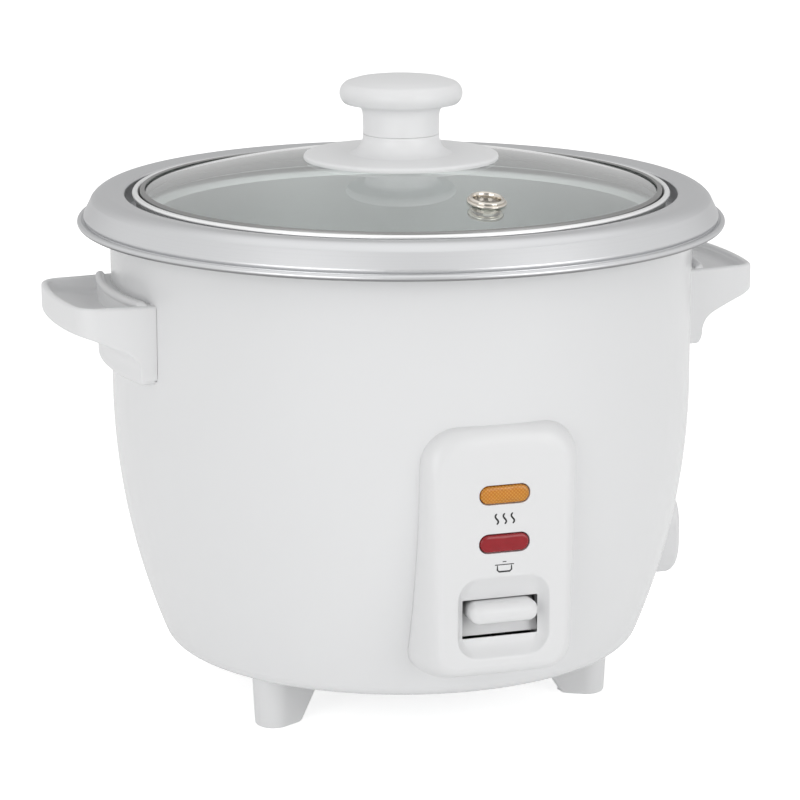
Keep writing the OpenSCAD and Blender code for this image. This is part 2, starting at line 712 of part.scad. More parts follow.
leg_turns = [90, 210, 330];
element_ends = [90 - element_gap / 2, 90 + element_gap / 2];
warm_at = [-19, -17];
warm_r = 7;
tab_x = 3.5;
tab_drop = 7;
fuse_at = [20, 16];
module ring_sweep() {
    rotate([0, 0, 90 + element_gap / 2]) rotate_extrude(angle = 360 - element_gap)
        translate([ring_r, 0]) children();
}
module heating_plate() {
    edge = 1.5;
    rib_w = 6;
    color(steel) difference() {
        union() {
            rotate_extrude() polygon(concat([[sleeve_r + 1.7, plate_z0], [plate_r - edge, plate_z0],
                [plate_r, plate_z0 + edge]],
                arc([plate_r - edge, plate_z1 - edge], edge, 0, 90, 6), [[sleeve_r + 1.7, plate_z1]]));
            rotate_extrude() translate([ring_r - rib_w, plate_z0 - 4.7]) square([2 * rib_w, 5]);
            for (a = leg_turns) rotate([0, 0, a]) translate([plate_leg_r, 0, floor_z + shield_t])
                cylinder(r = 4, h = plate_z0 - floor_z - shield_t + 1);
        }
        ring_sweep() translate([0, element_z]) circle(r = element_r);
        for (a = element_ends) rotate([0, 0, a]) translate([ring_r, 0, floor_z])
            cylinder(r = element_r, h = element_top_z - floor_z);
        for (a = leg_turns) rotate([0, 0, a]) translate([plate_leg_r, 0, floor_z]) cylinder(r = 1.8, h = 8);
    }
}
module heater_element() {
    color("#6f6a66") {
        ring_sweep() translate([0, element_z]) circle(r = element_r);
        for (a = element_ends) rotate([0, 0, a]) translate([ring_r, 0, 0]) {
            translate([0, 0, floor_z - 3]) cylinder(r = element_r, h = element_top_z - floor_z + 3);
            translate([0, 0, element_end_z]) cylinder(r = 1.4, h = 6);
        }
    }
}
module plate_screws() {
    for (a = leg_turns) rotate([0, 0, a]) translate([plate_leg_r, 0, floor_z - fit]) screw(1.8, 7.5, 3.4, 2);
}

// ---- Magnetic thermostat ----

module sensor_sleeve() {
    hole_r = rod_r + 0.4;
    out_r = sleeve_r + sleeve_t;
    color(steel) rotate_extrude() polygon([[hole_r, sleeve_z], [out_r, sleeve_z], [out_r, floor_z - 0.8],
        [flange_r, floor_z - 0.8], [flange_r, floor_z], [out_r, floor_z], [out_r, plate_z1 - 5],
            [sleeve_r, plate_z1 - 5],
        [sleeve_r, sleeve_z + 0.8], [hole_r, sleeve_z + 0.8]]);
}
module sensor_cap() {
    color("#c9ccd0") rotate_extrude() polygon(concat(
        [[0, plate_z1]], arc([cap_r - 1, plate_z1 - 1], 1, 90, 0, 6),
        [[cap_r, cap_z], [cap_r - cap_t, cap_z], [cap_r - cap_t, plate_z1 - cap_top_t],
            [0, plate_z1 - cap_top_t]]));
}
module ferrite_ring() {
    color("#3a3a3c") difference() {
        translate([0, 0, ferrite_z]) cylinder(r = magnet_r, h = ferrite_h);
        translate([0, 0, ferrite_z - 1]) cylinder(r = magnet_hole_r, h = ferrite_h + 2);
    }
}
module magnet_ring() {
    color("#2f3032") difference() {
        translate([0, 0, magnet_z0]) cylinder(r = magnet_r, h = magnet_h);
        translate([0, 0, magnet_z0 - 1]) cylinder(r = magnet_hole_r, h = magnet_h + 2);
    }
}
module magnet_rod() {
    flange_z = magnet_z0 - rod_flange_t;
    color(steel) {
        translate([0, 0, flange_z]) cylinder(r = magnet_r, h = rod_flange_t);
        translate([0, 0, rod_z0]) cylinder(r = rod_r, h = flange_z - rod_z0 + eps);
    }
}

// Round wire wound into a spring, with its ends in the planes z0 and z1
module coil(r, wire, z0, z1, turns, sides) {
    steps = 14;
    n = turns * steps;
    rise = (z1 - z0 - 2 * wire) / n;
    points = [for (i = [0:n], k = [0:sides - 1])
        let (a = 360 * i / steps, b = 360 * k / sides, q = r + wire * cos(b))
        [q * cos(a), q * sin(a), z0 + wire + rise * i + wire * sin(b)]];
    sides_f = [for (i = [0:n - 1], k = [0:sides - 1]) let (m = (k + 1) % sides)
        [i * sides + k, i * sides + m, (i + 1) * sides + m, (i + 1) * sides + k]];
    first = [for (k = [sides - 1:-1:0]) k];
    last = [for (k = [0:sides - 1]) n * sides + k];
    polyhedron(points, concat(sides_f, [first], [last]), convexity = 10);
}
module sensor_spring() {
    color(steel) coil(cap_r - 0.6 - spring_wire / 2, spring_wire, sleeve_z + 0.85, cap_z - 0.05, 5, 6);
}
module release_spring() {
    color(steel) coil(3.2, 0.4, magnet_z0 + 0.05, plate_z1 - cap_top_t - 0.05, 8, 6);
}

module warm_thermostat() {
    color("#d9d2c4") translate([warm_at[0], warm_at[1], 0]) {
        translate([0, 0, floor_z - 2]) cylinder(r = warm_r, h = plate_z0 - floor_z + 2 - fit);
        for (s = [-1, 1]) translate([s * tab_x - 1.5, -0.3, floor_z - tab_drop]) cube([3, 0.6, 6]);
    }
}
module thermal_fuse() {
    color("#d7c38f") translate([fuse_at[0] - 6, fuse_at[1], plate_z0 - 2.2]) rotate([0, 90, 0])
        cylinder(r = 2, h = 12);
}
module fuse_clip() {
    color(steel) translate([fuse_at[0], fuse_at[1], 0]) difference() {
        union() {
            translate([-2, -3, plate_z0 - 5]) cube([4, 6, 5 - fit / 2]);
            translate([-2, 2.9, plate_z0 - 1]) cube([4, 5, 1 - fit / 2]);
        }
        translate([-3, 0, plate_z0 - 2.2]) rotate([0, 90, 0]) cylinder(r = 2.05, h = 6);
        translate([-3, -2.05, plate_z0 - 2.2]) cube([6, 4.1, 3]);
    }
}

// ---- Wires ----

// Unit vector along v
function unit(v) = v / norm(v);
// Points of a curve that rounds the corners of a path, with m points at each corner
function rounded(path, reach, m) = concat([path[0]],
    [for (i = [1:len(path) - 2]) let (p = path[i], a = min(reach, norm(path[i - 1] - p) / 2.2),
        b = min(reach, norm(path[i + 1] - p) / 2.2),
        u = p + a * unit(path[i - 1] - p), v = p + b * unit(path[i + 1] - p))
        for (k = [0:m]) let (t = k / m) (1 - t) * (1 - t) * u + 2 * t * (1 - t) * p + t * t * v],
    [path[len(path) - 1]]);
// Round wire swept along a path, square to a steady sideways direction
module wire(path, r, sides = 8) {
    curve = rounded(path, 5, 3);
    n = len(curve) - 1;
    dirs = [for (i = [0:n]) unit(curve[min(i + 1, n)] - curve[max(i - 1, 0)])];
    across = [for (d = dirs) unit(cross(d, [0.31, 0.62, 0.11] + (abs(d[2]) > 0.9 ? [0, 0, 0] : [0, 0, 2])))];
    ring_points = [for (i = [0:n], k = [0:sides - 1]) let (a = 360 * k / sides)
        curve[i] + r * (cos(a) * across[i] + sin(a) * cross(dirs[i], across[i]))];
    walls = [for (i = [0:n - 1], k = [0:sides - 1]) let (m = (k + 1) % sides)
        [i * sides + m, i * sides + k, (i + 1) * sides + k, (i + 1) * sides + m]];
    first = [for (k = [0:sides - 1]) k];
    last = [for (k = [sides - 1:-1:0]) n * sides + k];
    polyhedron(ring_points, concat(walls, [first], [last]), convexity = 10);
}
wire_r = 1.1;
thin_wire_r = 0.8;
wire_z = cover_z + cover_t + wire_r + 1.2;
element_x = ring_r * cos(element_ends[0]);
element_y = ring_r * sin(element_ends[0]);
// Point a little inside the drum's wall, at a sideways distance and a height
function by_wall(x, z) = [x, -sqrt(pow(side_r(z) - sheet - 3, 2) - x * x), z];
module wire_live() {
    z = inlet_z + inlet_pin_at[1][1];
    y = inlet_pin_at[1][0];
    color("#7b3f2a") wire([[pin_end_x, y, z], [pin_end_x - 3, y, z], [pin_end_x - 4, y + 2, wire_z + 6],
        [plate_r, plate_r / 3, wire_z],
        [element_x, element_y, wire_z], [element_x, element_y, element_end_z]], wire_r);
}
module wire_neutral() {
    z = inlet_z + inlet_pin_at[0][1];
    y = inlet_pin_at[0][0];
    end = [1, switch_y0, switch_z0 + 5];
    color("#2b5aa0") wire([[pin_end_x, y, z], [pin_end_x - 3, y, z], [pin_end_x - 4, y - 2, wire_z + 6],
        [52, -18, wire_z],
        [24, -19, wire_z + 1], [16, -20, wire_z + 2], [14, end[1] - 1, wire_z + 4], [9, end[1] - 5, end[2]],
        [end[0], end[1] - 6, end[2]], end], wire_r);
}
module wire_switch() {
    end = [-switch_w / 2, switch_y + 2, switch_z0 + 3];
    color("#c9c9c9") wire([[-element_x, element_y, element_end_z], [-element_x, element_y, wire_z],
        [-plate_r / 2, plate_r / 8, wire_z], [-plate_r / 2, switch_y + 4, wire_z + 1], end - [10, 0, 1],
            end - [5, 0, 0], end],
        wire_r);
}
module wire_lamps() {
    y = lead_end_y + thin_wire_r;
    warm_tab = [warm_at[0] - tab_x, warm_at[1], floor_z - tab_drop];
    color("#d8d3c0") {
        wire(concat([[-lead_x, y, warm_z + 1.5], [-lead_x, y, cook_z - 1], by_wall(-lead_x - 1, cook_z - 7)],
            down_wall(-18), [[-20, -30, wire_z + 1], [warm_tab[0], warm_tab[1], wire_z + 1], warm_tab]),
                thin_wire_r);
        wire(concat([[lead_x, y, warm_z + 1.5], [lead_x, y, warm_z - 4], [lead_x + 3.5, y, warm_z - 8],
            [lead_x + 3.5, y, cook_z - 1], by_wall(lead_x + 5, cook_z - 7)], down_wall(22),
                [[26, -21.4, wire_z + 1]]),
            thin_wire_r);
        wire(concat([[lead_x, y, cook_z + 1.5], [lead_x, y, cook_z - 1], by_wall(lead_x + 1, cook_z - 7)],
            down_wall(18), [[21, -21.4, wire_z + 1.4]]), thin_wire_r);
    }
}
function down_wall(x) = [by_wall(x - sign(x) * 2, window_z1 + 6), by_wall(x, window_z1 - 4),
    by_wall(x, window_z0 - 6),
    by_wall(x, wire_z + 3)];

// ---- Pot ----

module inner_pot() {
    bottom_c = [pot_r - pot_round, pot_bottom_z + pot_round];
    wall = pot_wall;
    step = pot_mouth_r;
    color("#c7cacc") rotate_extrude() polygon(concat([[0, pot_bottom_z]],
        arc(bottom_c, pot_round, -90, 0, 12),
        [[pot_r, shoulder_z - 3], [step, shoulder_z], [step, bead_z - 0.8]],
        arc([step + 0.3, bead_z], bead_r, -70, 180, 14),
        [[step - wall, bead_z - 1], [step - wall, shoulder_z + wall * 0.6],
            [pot_r - wall, shoulder_z - 3 + wall * 0.6]],
        arc(bottom_c, pot_round - wall, 0, -90, 12), [[0, pot_bottom_z + wall]]));
}

// ---- Lid ----

// Part of the glass dome between two radii, between two depths below its outer face
module dome(r0, r1, d0, d1) {
    a0 = acos(r0 / dome_r);
    a1 = acos(r1 / dome_r);
    rotate_extrude() polygon(concat(arc([0, dome_z], dome_r - d0, a0, a1, 10),
        arc([0, dome_z], dome_r - d1, a1, a0, 10)));
}
module lid_glass() {
    color([0.75, 0.82, 0.8, 0.45]) difference() {
        dome(3.2, glass_r, 0, glass_t);
        vent_frame() translate([0, 0, -12]) cylinder(r = vent_r - 1.7, h = 24);
    }
}
module lid_band() {
    glass_top = dome_at(glass_r);
    color(steel) rotate_extrude() polygon([[band_r - 1.8, band_z0], [band_r, band_z0],
        [band_r, glass_top + 0.5],
        [band_r - 0.3, glass_top + 0.8], [band_r - 1.6, glass_top + 0.9], [band_r - 1.6, glass_top + 0.4],
        [band_r - 0.7, glass_top + 0.2], [band_r - 0.7, glass_top - glass_t - 0.1],
        [band_r - 1.8, glass_top - glass_t - 0.1]]);
}
// Puts its children at the vent, square to the glass
module vent_frame() {
    rotate([0, 0, vent_turn - 90]) translate([0, 0, dome_z]) rotate([0, asin(vent_place_r / dome_r), 0])
        translate([0, 0, dome_r]) children();
}
module vent_eyelet() {
    hole_r = vent_r - 2.4;
    tube_r = vent_r - 1.75;
    color(steel) vent_frame() rotate_extrude()
        polygon(concat([[hole_r, -glass_t - 1], [vent_r - 0.6, -glass_t - 1],
        [vent_r - 0.6, -glass_t - 0.12], [tube_r, -glass_t - 0.12], [tube_r, 0.05], [vent_r, 0.05],
            [vent_r, 0.5]],
        arc([vent_r - 0.75, 0.9], 0.75, 0, 180, 8), [[hole_r, 1.1]]));
}
module knob_base() {
    blend = 6;
    color(white) rotate_extrude() polygon(concat([[2, knob_z + 0.05], [2, seam_z], [neck_r, seam_z],
        [neck_r, seam_z - 0.6]],
        arc([neck_r + blend, seam_z - 0.6], blend, 180, 255, 10),
        [[skirt_r - 4, dome_at(skirt_r) + 2.2], [skirt_r - 1, dome_at(skirt_r) + 1.2],
            [skirt_r, dome_at(skirt_r) + 0.4],
            [skirt_r, dome_at(skirt_r) + 0.05]],
        [for (i = [7:-1:1]) let (r = skirt_r * i / 8) [r, dome_at(r) + 0.05]]));
}
module knob_grip() {
    top = knob_top_z;
    wide_z = top - 5.7;
    color(white) difference() {
        rotate_extrude() polygon(concat([[0, seam_z + 0.05], [neck_r, seam_z + 0.05], [neck_r, top - 12],
            [neck_r + 0.7, top - 10.4], [neck_r + 2, top - 9.6]],
            arc([knob_r - 4, wide_z], 4, -50, 62, 12),
            [for (i = [4:-1:0]) let (r = (knob_r - 3) * i / 5) [r, top - 1.6 * pow(r / (knob_r - 3), 2)]]));
        translate([0, 0, knob_z]) cylinder(r = 1.7, h = knob_h - 9);
    }
}
module knob_screw() {
    translate([0, 0, washer_z]) screw(1.7, glass_t + washer_t + knob_h - 12, 4, 2);
}
module knob_washer() {
    color("#e4e4e2") difference() {
        translate([0, 0, washer_z]) cylinder(r = 8, h = washer_t);
        translate([0, 0, washer_z - 1]) cylinder(r = 1.75, h = washer_t + 2);
    }
}

outer_shell();
rim_ring();
heat_shield();
base_cover();
foot_left();
foot_right();
foot_rear();
foot_screws();
handle_left();
handle_right();
handle_screws();
control_panel();
panel_screws();
warm_lens();
cook_lens();
warm_lamp();
cook_lamp();
switch_lever();
lever_arm();
lever_pin();
pivot_bracket();
switch_body();
switch_plunger();
switch_bracket();
inlet_housing();
inlet_pins();
inlet_screws();
heating_plate();
heater_element();
plate_screws();
sensor_sleeve();
sensor_cap();
ferrite_ring();
sensor_spring();
magnet_rod();
magnet_ring();
release_spring();
warm_thermostat();
thermal_fuse();
fuse_clip();
wire_live();
wire_neutral();
wire_switch();
wire_lamps();
inner_pot();
lid_glass();
lid_band();
vent_eyelet();
knob_base();
knob_grip();
knob_screw();
knob_washer();
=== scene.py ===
"""Looks of a drum rice cooker with a glass lid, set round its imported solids.

Metres, +Z up, the control panel faces -Y. Sizes inside the sections are in millimetres.
"""
import math

import bmesh
import bpy
from mathutils import Matrix, Vector, geometry


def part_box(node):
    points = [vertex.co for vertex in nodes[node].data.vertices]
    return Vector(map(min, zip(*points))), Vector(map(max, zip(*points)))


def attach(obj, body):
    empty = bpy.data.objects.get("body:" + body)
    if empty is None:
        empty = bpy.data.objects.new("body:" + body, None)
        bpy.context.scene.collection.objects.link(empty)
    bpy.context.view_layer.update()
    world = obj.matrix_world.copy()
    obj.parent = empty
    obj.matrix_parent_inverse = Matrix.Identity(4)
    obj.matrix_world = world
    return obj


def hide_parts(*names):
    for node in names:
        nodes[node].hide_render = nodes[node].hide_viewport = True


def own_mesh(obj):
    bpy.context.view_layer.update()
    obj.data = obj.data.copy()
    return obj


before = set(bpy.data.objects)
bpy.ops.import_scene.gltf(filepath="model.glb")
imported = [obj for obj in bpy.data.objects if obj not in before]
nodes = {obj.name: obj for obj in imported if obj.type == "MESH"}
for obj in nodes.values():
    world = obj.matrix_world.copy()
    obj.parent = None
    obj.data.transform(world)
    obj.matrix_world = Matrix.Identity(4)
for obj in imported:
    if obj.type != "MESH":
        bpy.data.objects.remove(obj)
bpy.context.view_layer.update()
MM = 0.001

# ---- Table and room ----
# A wide white table top, seen only as the ground the cooker stands on. The room is a soft white box of
# light, darker round the viewer and low behind the cooker, so that metal edges get their dark lines.


class Value:
    """A number or colour that nodes work out. An expression on it adds the Math nodes it needs."""

    def __init__(self, finish, link):
        self.finish, self.link = finish, link

    def _math(self, operation, *terms):
        node = self.finish.add("Math", {"operation": operation}, dict(enumerate(terms)))
        return node["Value"]

    def __add__(self, other):
        return self._math("ADD", self, other)

    def __sub__(self, other):
        return self._math("SUBTRACT", self, other)

    def __rsub__(self, other):
        return self._math("SUBTRACT", other, self)

    def __mul__(self, other):
        return self._math("MULTIPLY", self, other)

    def __pow__(self, other):
        return self._math("POWER", self, other)

    def least(self, other):
        return self._math("MINIMUM", self, other)

    def most(self, other):
        return self._math("MAXIMUM", self, other)

    def size(self):
        return self._math("ABSOLUTE", self)

    def wave(self):
        return self._math("SINE", self)

    __radd__, __rmul__ = __add__, __mul__


class Finish:
    """A material of one Principled shader, with the nodes that give it its grain, its mottled tone and any
    painted shade.
    """

    def __init__(self, name, tree=None, **look):
        if tree is None:
            self.material = bpy.data.materials.new(name)
            self.material.use_nodes = True
            tree = self.material.node_tree
        self.tree = tree
        self.tree.nodes.clear()
        if look:
            sockets = {self.words(key): value for key, value in look.items()}
            self.end(self.add("BsdfPrincipled", {}, sockets)["BSDF"])

    @staticmethod
    def words(key):
        return key.replace("_", " ").title().replace("Ior", "IOR")

    def add(self, kind, settings, inputs):
        node = self.tree.nodes.new("ShaderNode" + kind)
        for key, value in settings.items():
            if key == "stops":
                for stop, (place, colour) in zip(self._stops(node, len(value)), value):
                    stop.position, stop.color = place, colour
            else:
                setattr(node, key, value)
        for key, value in inputs.items():
            self.feed(node.inputs[key], value)
        return {out.name: Value(self, out) for out in node.outputs if out.enabled}

    def _stops(self, node, count):
        ramp = node.color_ramp.elements
        while len(ramp) < count:
            ramp.new(1.0)
        return ramp

    def feed(self, socket, value):
        if isinstance(value, Value):
            self.tree.links.new(value.link, socket)
        elif isinstance(value, (tuple, list)) and len(value) == 3 and len(socket.default_value) == 4:
            socket.default_value = (*value, 1.0)
        else:
            socket.default_value = value

    def end(self, surface, socket="Surface", kind="OutputMaterial"):
        self.add(kind, {}, {socket: surface})

    def drive(self, **links):
        """Feeds sockets of the Principled shader from nodes."""
        shader = next(n for n in self.tree.nodes if n.type == "BSDF_PRINCIPLED")
        for key, value in links.items():
            self.feed(shader.inputs[self.words(key)], value)
        return self

    def place(self):
        return self.add("TexCoord", {}, {})["Object"]

    def axes(self):
        split = self.add("SeparateXYZ", {}, {"Vector": self.place()})
        return split["X"], split["Y"], split["Z"]

    def noise(self, scale, detail=2.0, stretch=(1, 1, 1), rough=0.5):
        spot = self.add("VectorMath", {"operation": "MULTIPLY"}, {0: self.place(), 1: stretch})["Vector"]
        sockets = {"Vector": spot, "Scale": scale, "Detail": detail, "Roughness": rough}
        return self.add("TexNoise", {}, sockets)["Fac"]

    def mix(self, share, one, other):
        """Colour that goes from one to the other as share goes from 0 to 1."""
        node = self.tree.nodes.new("ShaderNodeMix")
        node.data_type = "RGBA"
        for key, value in ((0, share), (6, one), (7, other)):
            self.feed(node.inputs[key], value)
        return Value(self, node.outputs[2])

    def bump(self, height, depth, strength=1.0):
        return self.add("Bump", {}, {"Height": height, "Distance": depth, "Strength": strength})["Normal"]


table_finish = Finish("table_top")
lit = table_finish.add("BsdfDiffuse", {}, {"Color": (0.86, 0.86, 0.86), "Roughness": 0.5})["BSDF"]
glow = table_finish.add("Emission", {}, {"Color": (1.0, 1.0, 1.0), "Strength": 1.0})["Emission"]
ray = table_finish.add("LightPath", {}, {})
seen = ray["Is Camera Ray"].most(ray["Is Transmission Ray"])
both = table_finish.add("AddShader", {}, {0: lit, 1: glow})["Shader"]
table_finish.end(table_finish.add("MixShader", {}, {"Fac": seen * 0.46 + 0.2, 1: lit, 2: both})["Shader"])

table_half = 9.0
table_mesh = bpy.data.meshes.new("table")
table_corners = [(x * table_half, y * table_half, 0) for x, y in ((-1, -1), (1, -1), (1, 1), (-1, 1))]
table_mesh.from_pydata(table_corners, [], [(0, 1, 2, 3)])
table_mesh.materials.append(table_finish.material)
table = bpy.data.objects.new("table", table_mesh)
bpy.context.scene.collection.objects.link(table)

scene = bpy.context.scene
scene.view_settings.view_transform = "Standard"
scene.world = bpy.data.worlds.new("room")
scene.world.use_nodes = True
room = Finish("room", tree=scene.world.node_tree)
way = room.add("TexCoord", {}, {})["Generated"]
toward = room.add("VectorMath", {"operation": "DOT_PRODUCT"}, {0: way, 1: (-0.32, -0.93, 0.12)})["Value"]
dark = room.add("MapRange", {"interpolation_type": "SMOOTHSTEP"},
                {"Value": toward, "From Min": 0.86, "From Max": 0.99, "To Min": 1.0, "To Max": 0.45})["Result"]
away = room.add("VectorMath", {"operation": "DOT_PRODUCT"}, {0: way, 1: (0.32, 0.91, 0.25)})["Value"]
dim = room.add("MapRange", {"interpolation_type": "SMOOTHSTEP"},
               {"Value": away, "From Min": 0.55, "From Max": 0.95, "To Min": 0.0, "To Max": 0.36})["Result"]
ray = room.add("LightPath", {}, {})
seen = ray["Is Camera Ray"].most(ray["Is Glossy Ray"]).most(ray["Is Transmission Ray"])
strength = dark * (0.6 + seen * (0.36 - dim))
sky = room.add("Background", {}, {"Color": (1.0, 1.0, 1.0), "Strength": strength})["Background"]
room.end(sky, kind="OutputWorld")


def softbox(name, spot, width, height, power):
    """A large diffused lamp that faces the cooker."""
    data = bpy.data.lights.new(name, "AREA")
    data.shape, data.size, data.size_y, data.energy = "RECTANGLE", width, height, power
    lamp = bpy.data.objects.new(name, data)
    lamp.location = spot
    lamp.rotation_euler = (Vector((0, 0, 0.1)) - Vector(spot)).to_track_quat("-Z", "Y").to_euler()
    scene.collection.objects.link(lamp)


# Watts: the front comes from the lamps, the rest from the room
softbox("left_lamp", (-1.4, -1.2, 0.42), 1.2, 1.2, 8.4)
softbox("right_lamp", (0.9, -1.6, 0.4), 1.1, 1.1, 7.2)
softbox("top_lamp", (0.1, 0.1, 1.9), 2.4, 2.4, 5)

# ---- Camera ----
# It looks down on the cooker from the left of the panel, 1.1 m away.
bearing, dip = math.radians(19), math.radians(13.28)
toward_cooker = Vector((math.sin(bearing), math.cos(bearing), 0))
to_the_right = Vector((toward_cooker.y, -toward_cooker.x, 0))
camera_data = bpy.data.cameras.new("camera")
camera_data.lens, camera_data.sensor_width = 154.4, 36
camera = bpy.data.objects.new("camera", camera_data)
gaze = Matrix.Rotation(math.radians(0.04), 3, "Z") @ toward_cooker
gaze = (gaze * math.cos(dip) - Vector((0, 0, math.sin(dip)))).normalized()
side = gaze.cross(Vector((0, 0, 1))).normalized()
facing = Matrix((side, side.cross(gaze), -gaze)).transposed()
spot = -1.1 * toward_cooker + 0.00045 * to_the_right + Vector((0, 0, 0.3556))
camera.matrix_world = Matrix.Translation(spot) @ facing.to_4x4()
scene.collection.objects.link(camera)
scene.camera = camera

# ---- Drum ----
# One deep shell of thin steel, rounded in at the bottom and stove-painted white. Its front is pierced
# for the lamps and the lever and its right side for the power inlet, behind the pieces that cover them.
drum_low, drum_high = (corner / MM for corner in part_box("outer_shell"))
drum_r, drum_z = drum_high.x, drum_low.z
belly_z, belly_r, bottom_round = drum_z + 86.6, 222.0, 6.0


def arc(cx, cy, r, start, stop, steps=12):
    """Points of a round stretch between two angles in degrees."""
    turns = [math.radians(start + (stop - start) * k / steps) for k in range(steps + 1)]
    return [(cx + r * math.cos(t), cy + r * math.sin(t)) for t in turns]


def rounded(corners, steps=6):
    """A closed outline from corners (x, y, radius), each turned into an arc."""
    out = []
    for i, (x, y, r) in enumerate(corners):
        here = Vector((x, y))
        back = Vector(corners[i - 1][:2]) - here
        on = Vector(corners[(i + 1) % len(corners)][:2]) - here
        if r <= 0:
            out.append((x, y))
            continue
        half = back.angle(on) / 2
        reach = min(r / math.tan(half), 0.49 * back.length, 0.49 * on.length)
        radius = reach * math.tan(half)
        middle = here + (back.normalized() + on.normalized()).normalized() * radius / math.sin(half)
        first, last = here + back.normalized() * reach - middle, here + on.normalized() * reach - middle
        start = math.atan2(first.y, first.x)
        sweep = (math.atan2(last.y, last.x) - start + math.pi) % (2 * math.pi) - math.pi
        out += [(middle.x + radius * math.cos(start + sweep * k / steps),
                 middle.y + radius * math.sin(start + sweep * k / steps)) for k in range(steps + 1)]
    return out


def spin(outline, around=192, frame_of=Matrix.Identity(4)):
    """A closed outline of (radius, height) in mm, turned round the axis of a frame."""
    form = bmesh.new()
    rings = []
    for r, z in outline:
        if r < 1e-4:
            rings.append([form.verts.new(frame_of @ Vector((0, 0, z * MM)))] * around)
            continue
        rings.append([form.verts.new(frame_of @ Vector((r * MM * math.cos(a), r * MM * math.sin(a), z * MM)))
                      for a in (2 * math.pi * k / around for k in range(around))])
    for one, two in zip(rings, rings[1:] + rings[:1]):
        for k in range(around):
            corners = list(dict.fromkeys((one[k], one[(k + 1) % around], two[(k + 1) % around], two[k])))
            if len(corners) > 2:
                form.faces.new(corners)
    return form


def piece(name, form, finish, body, stands_for=(), sharp=40, shell=0.0):
    """A finished piece of the cooker from its mesh: smooth, riding on its body, in place of its solid."""
    bmesh.ops.recalc_face_normals(form, faces=form.faces)
    mesh = bpy.data.meshes.new(name)
    form.to_mesh(mesh)
    form.free()
    mesh.materials.append(finish.material)
    mesh.shade_smooth()
    mesh.set_sharp_from_angle(angle=math.radians(sharp))
    made = bpy.data.objects.new(name, mesh)
    scene.collection.objects.link(made)
    if shell:
        wall = made.modifiers.new("wall", "SOLIDIFY")
        wall.thickness, wall.offset = shell * MM, -1
    evening = made.modifiers.new("evening", "WEIGHTED_NORMAL")
    evening.keep_sharp, evening.weight = True, 80
    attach(made, body)
    if stands_for:
        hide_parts(*([stands_for] if isinstance(stands_for, str) else stands_for))
    return made


def cut(made, *blocks):
    """Pierces a piece with blocks, each given by two corners in mm."""
    for low, high in blocks:
        form = bmesh.new()
        bmesh.ops.create_cube(form, size=1)
        middle = (Vector(low) + Vector(high)) / 2 * MM
        size = (Vector(high) - Vector(low)) * MM
        place = Matrix.Translation(middle) @ Matrix.Diagonal((*size, 1))
        bmesh.ops.transform(form, matrix=place, verts=form.verts)
        mesh = bpy.data.meshes.new("block")
        form.to_mesh(mesh)
        form.free()
        block = bpy.data.objects.new("block", mesh)
        scene.collection.objects.link(block)
        step = made.modifiers.new("cut", "BOOLEAN")
        step.operation, step.object, step.solver = "DIFFERENCE", block, "EXACT"
        with bpy.context.temp_override(object=made, active_object=made):
            bpy.ops.object.modifier_move_to_index(modifier="cut", index=0)
            bpy.ops.object.modifier_apply(modifier="cut")
        bpy.data.objects.remove(block)


def drum_radius(z):
    """Radius of the drum's outside in mm at a height in mm."""
    return drum_r - belly_r + math.sqrt(belly_r ** 2 - max(0.0, belly_z - z) ** 2)


def drum_side(inset, top):
    """The drum's side from its bottom up to a height, moved inwards by an inset."""
    corner_z = drum_z + bottom_round
    corner_x = drum_r - belly_r + math.sqrt((belly_r - bottom_round) ** 2 - (belly_z - corner_z) ** 2)
    tilt = math.degrees(math.atan2(corner_z - belly_z, corner_x - drum_r + belly_r))
    return (arc(corner_x, corner_z, bottom_round - inset, -90, tilt, 10)
            + arc(drum_r - belly_r, belly_z, belly_r - inset, tilt, 0, 40) + [(drum_r - inset, top)])


paint = Finish("stoved_paint", base_color=(0.80, 0.805, 0.81), roughness=0.2, coat_weight=0.25,
               coat_roughness=0.08)
peel = paint.noise(420, 3)
paint.drive(roughness=paint.noise(35, 4) * 0.05 + 0.2, normal=paint.bump(peel, 0.000012, 0.5),
            base_color=paint.mix(paint.noise(9, 3), (0.795, 0.80, 0.807), (0.81, 0.815, 0.82)))

lip_r, drum_sheet, drum_top = 70.0, 0.8, drum_high.z
outline = [(lip_r, drum_z)] + drum_side(0, drum_top - 1) + [(drum_r - 1, drum_top), (drum_r - 4, drum_top)]
outline += [(drum_r - 4, drum_top - drum_sheet), (drum_r - 1, drum_top - drum_sheet)]
outline += drum_side(drum_sheet, drum_top - 1)[::-1] + [(lip_r, drum_z + drum_sheet)]
drum = piece("drum", spin(outline, 256), paint, "cooker", "outer_shell")
inlet_z = drum_z + 27.6
lamp_hole = ((-11, -drum_r - 5, 67), (11, -75, 94))
lever_hole = ((-14, -drum_r - 5, 37.4), (14, -70, 58.6))
inlet_hole = ((70, -13.7, inlet_z - 10.7), (100, 13.7, inlet_z + 10.7))
cut(drum, lamp_hole, lever_hole, inlet_hole)

# ---- Rim ring ----
# A spun aluminium ring, satin with a fine round grain. It drops over the drum, ends outside in a rolled
# edge, a groove and a small bead, and goes down inside as the collar that the pot hangs in.
ring_low, ring_high = (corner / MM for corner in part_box("rim_ring"))
ring_r, ridge_z, throat_z = ring_high.x, ring_high.z, ring_low.z
mouth_r, throat_r, ring_sheet = 89.5, 86.4, 0.9
bead_edge_z = ridge_z - 9.0
collar_z = bead_edge_z + 0.8
ridge_round = 6.5
ridge = (mouth_r + 5.7, ridge_z - ridge_round)
bead_r = 1.0
ring_finish = Finish("satin_ring", base_color=(0.64, 0.645, 0.655), metallic=1.0, roughness=0.34)


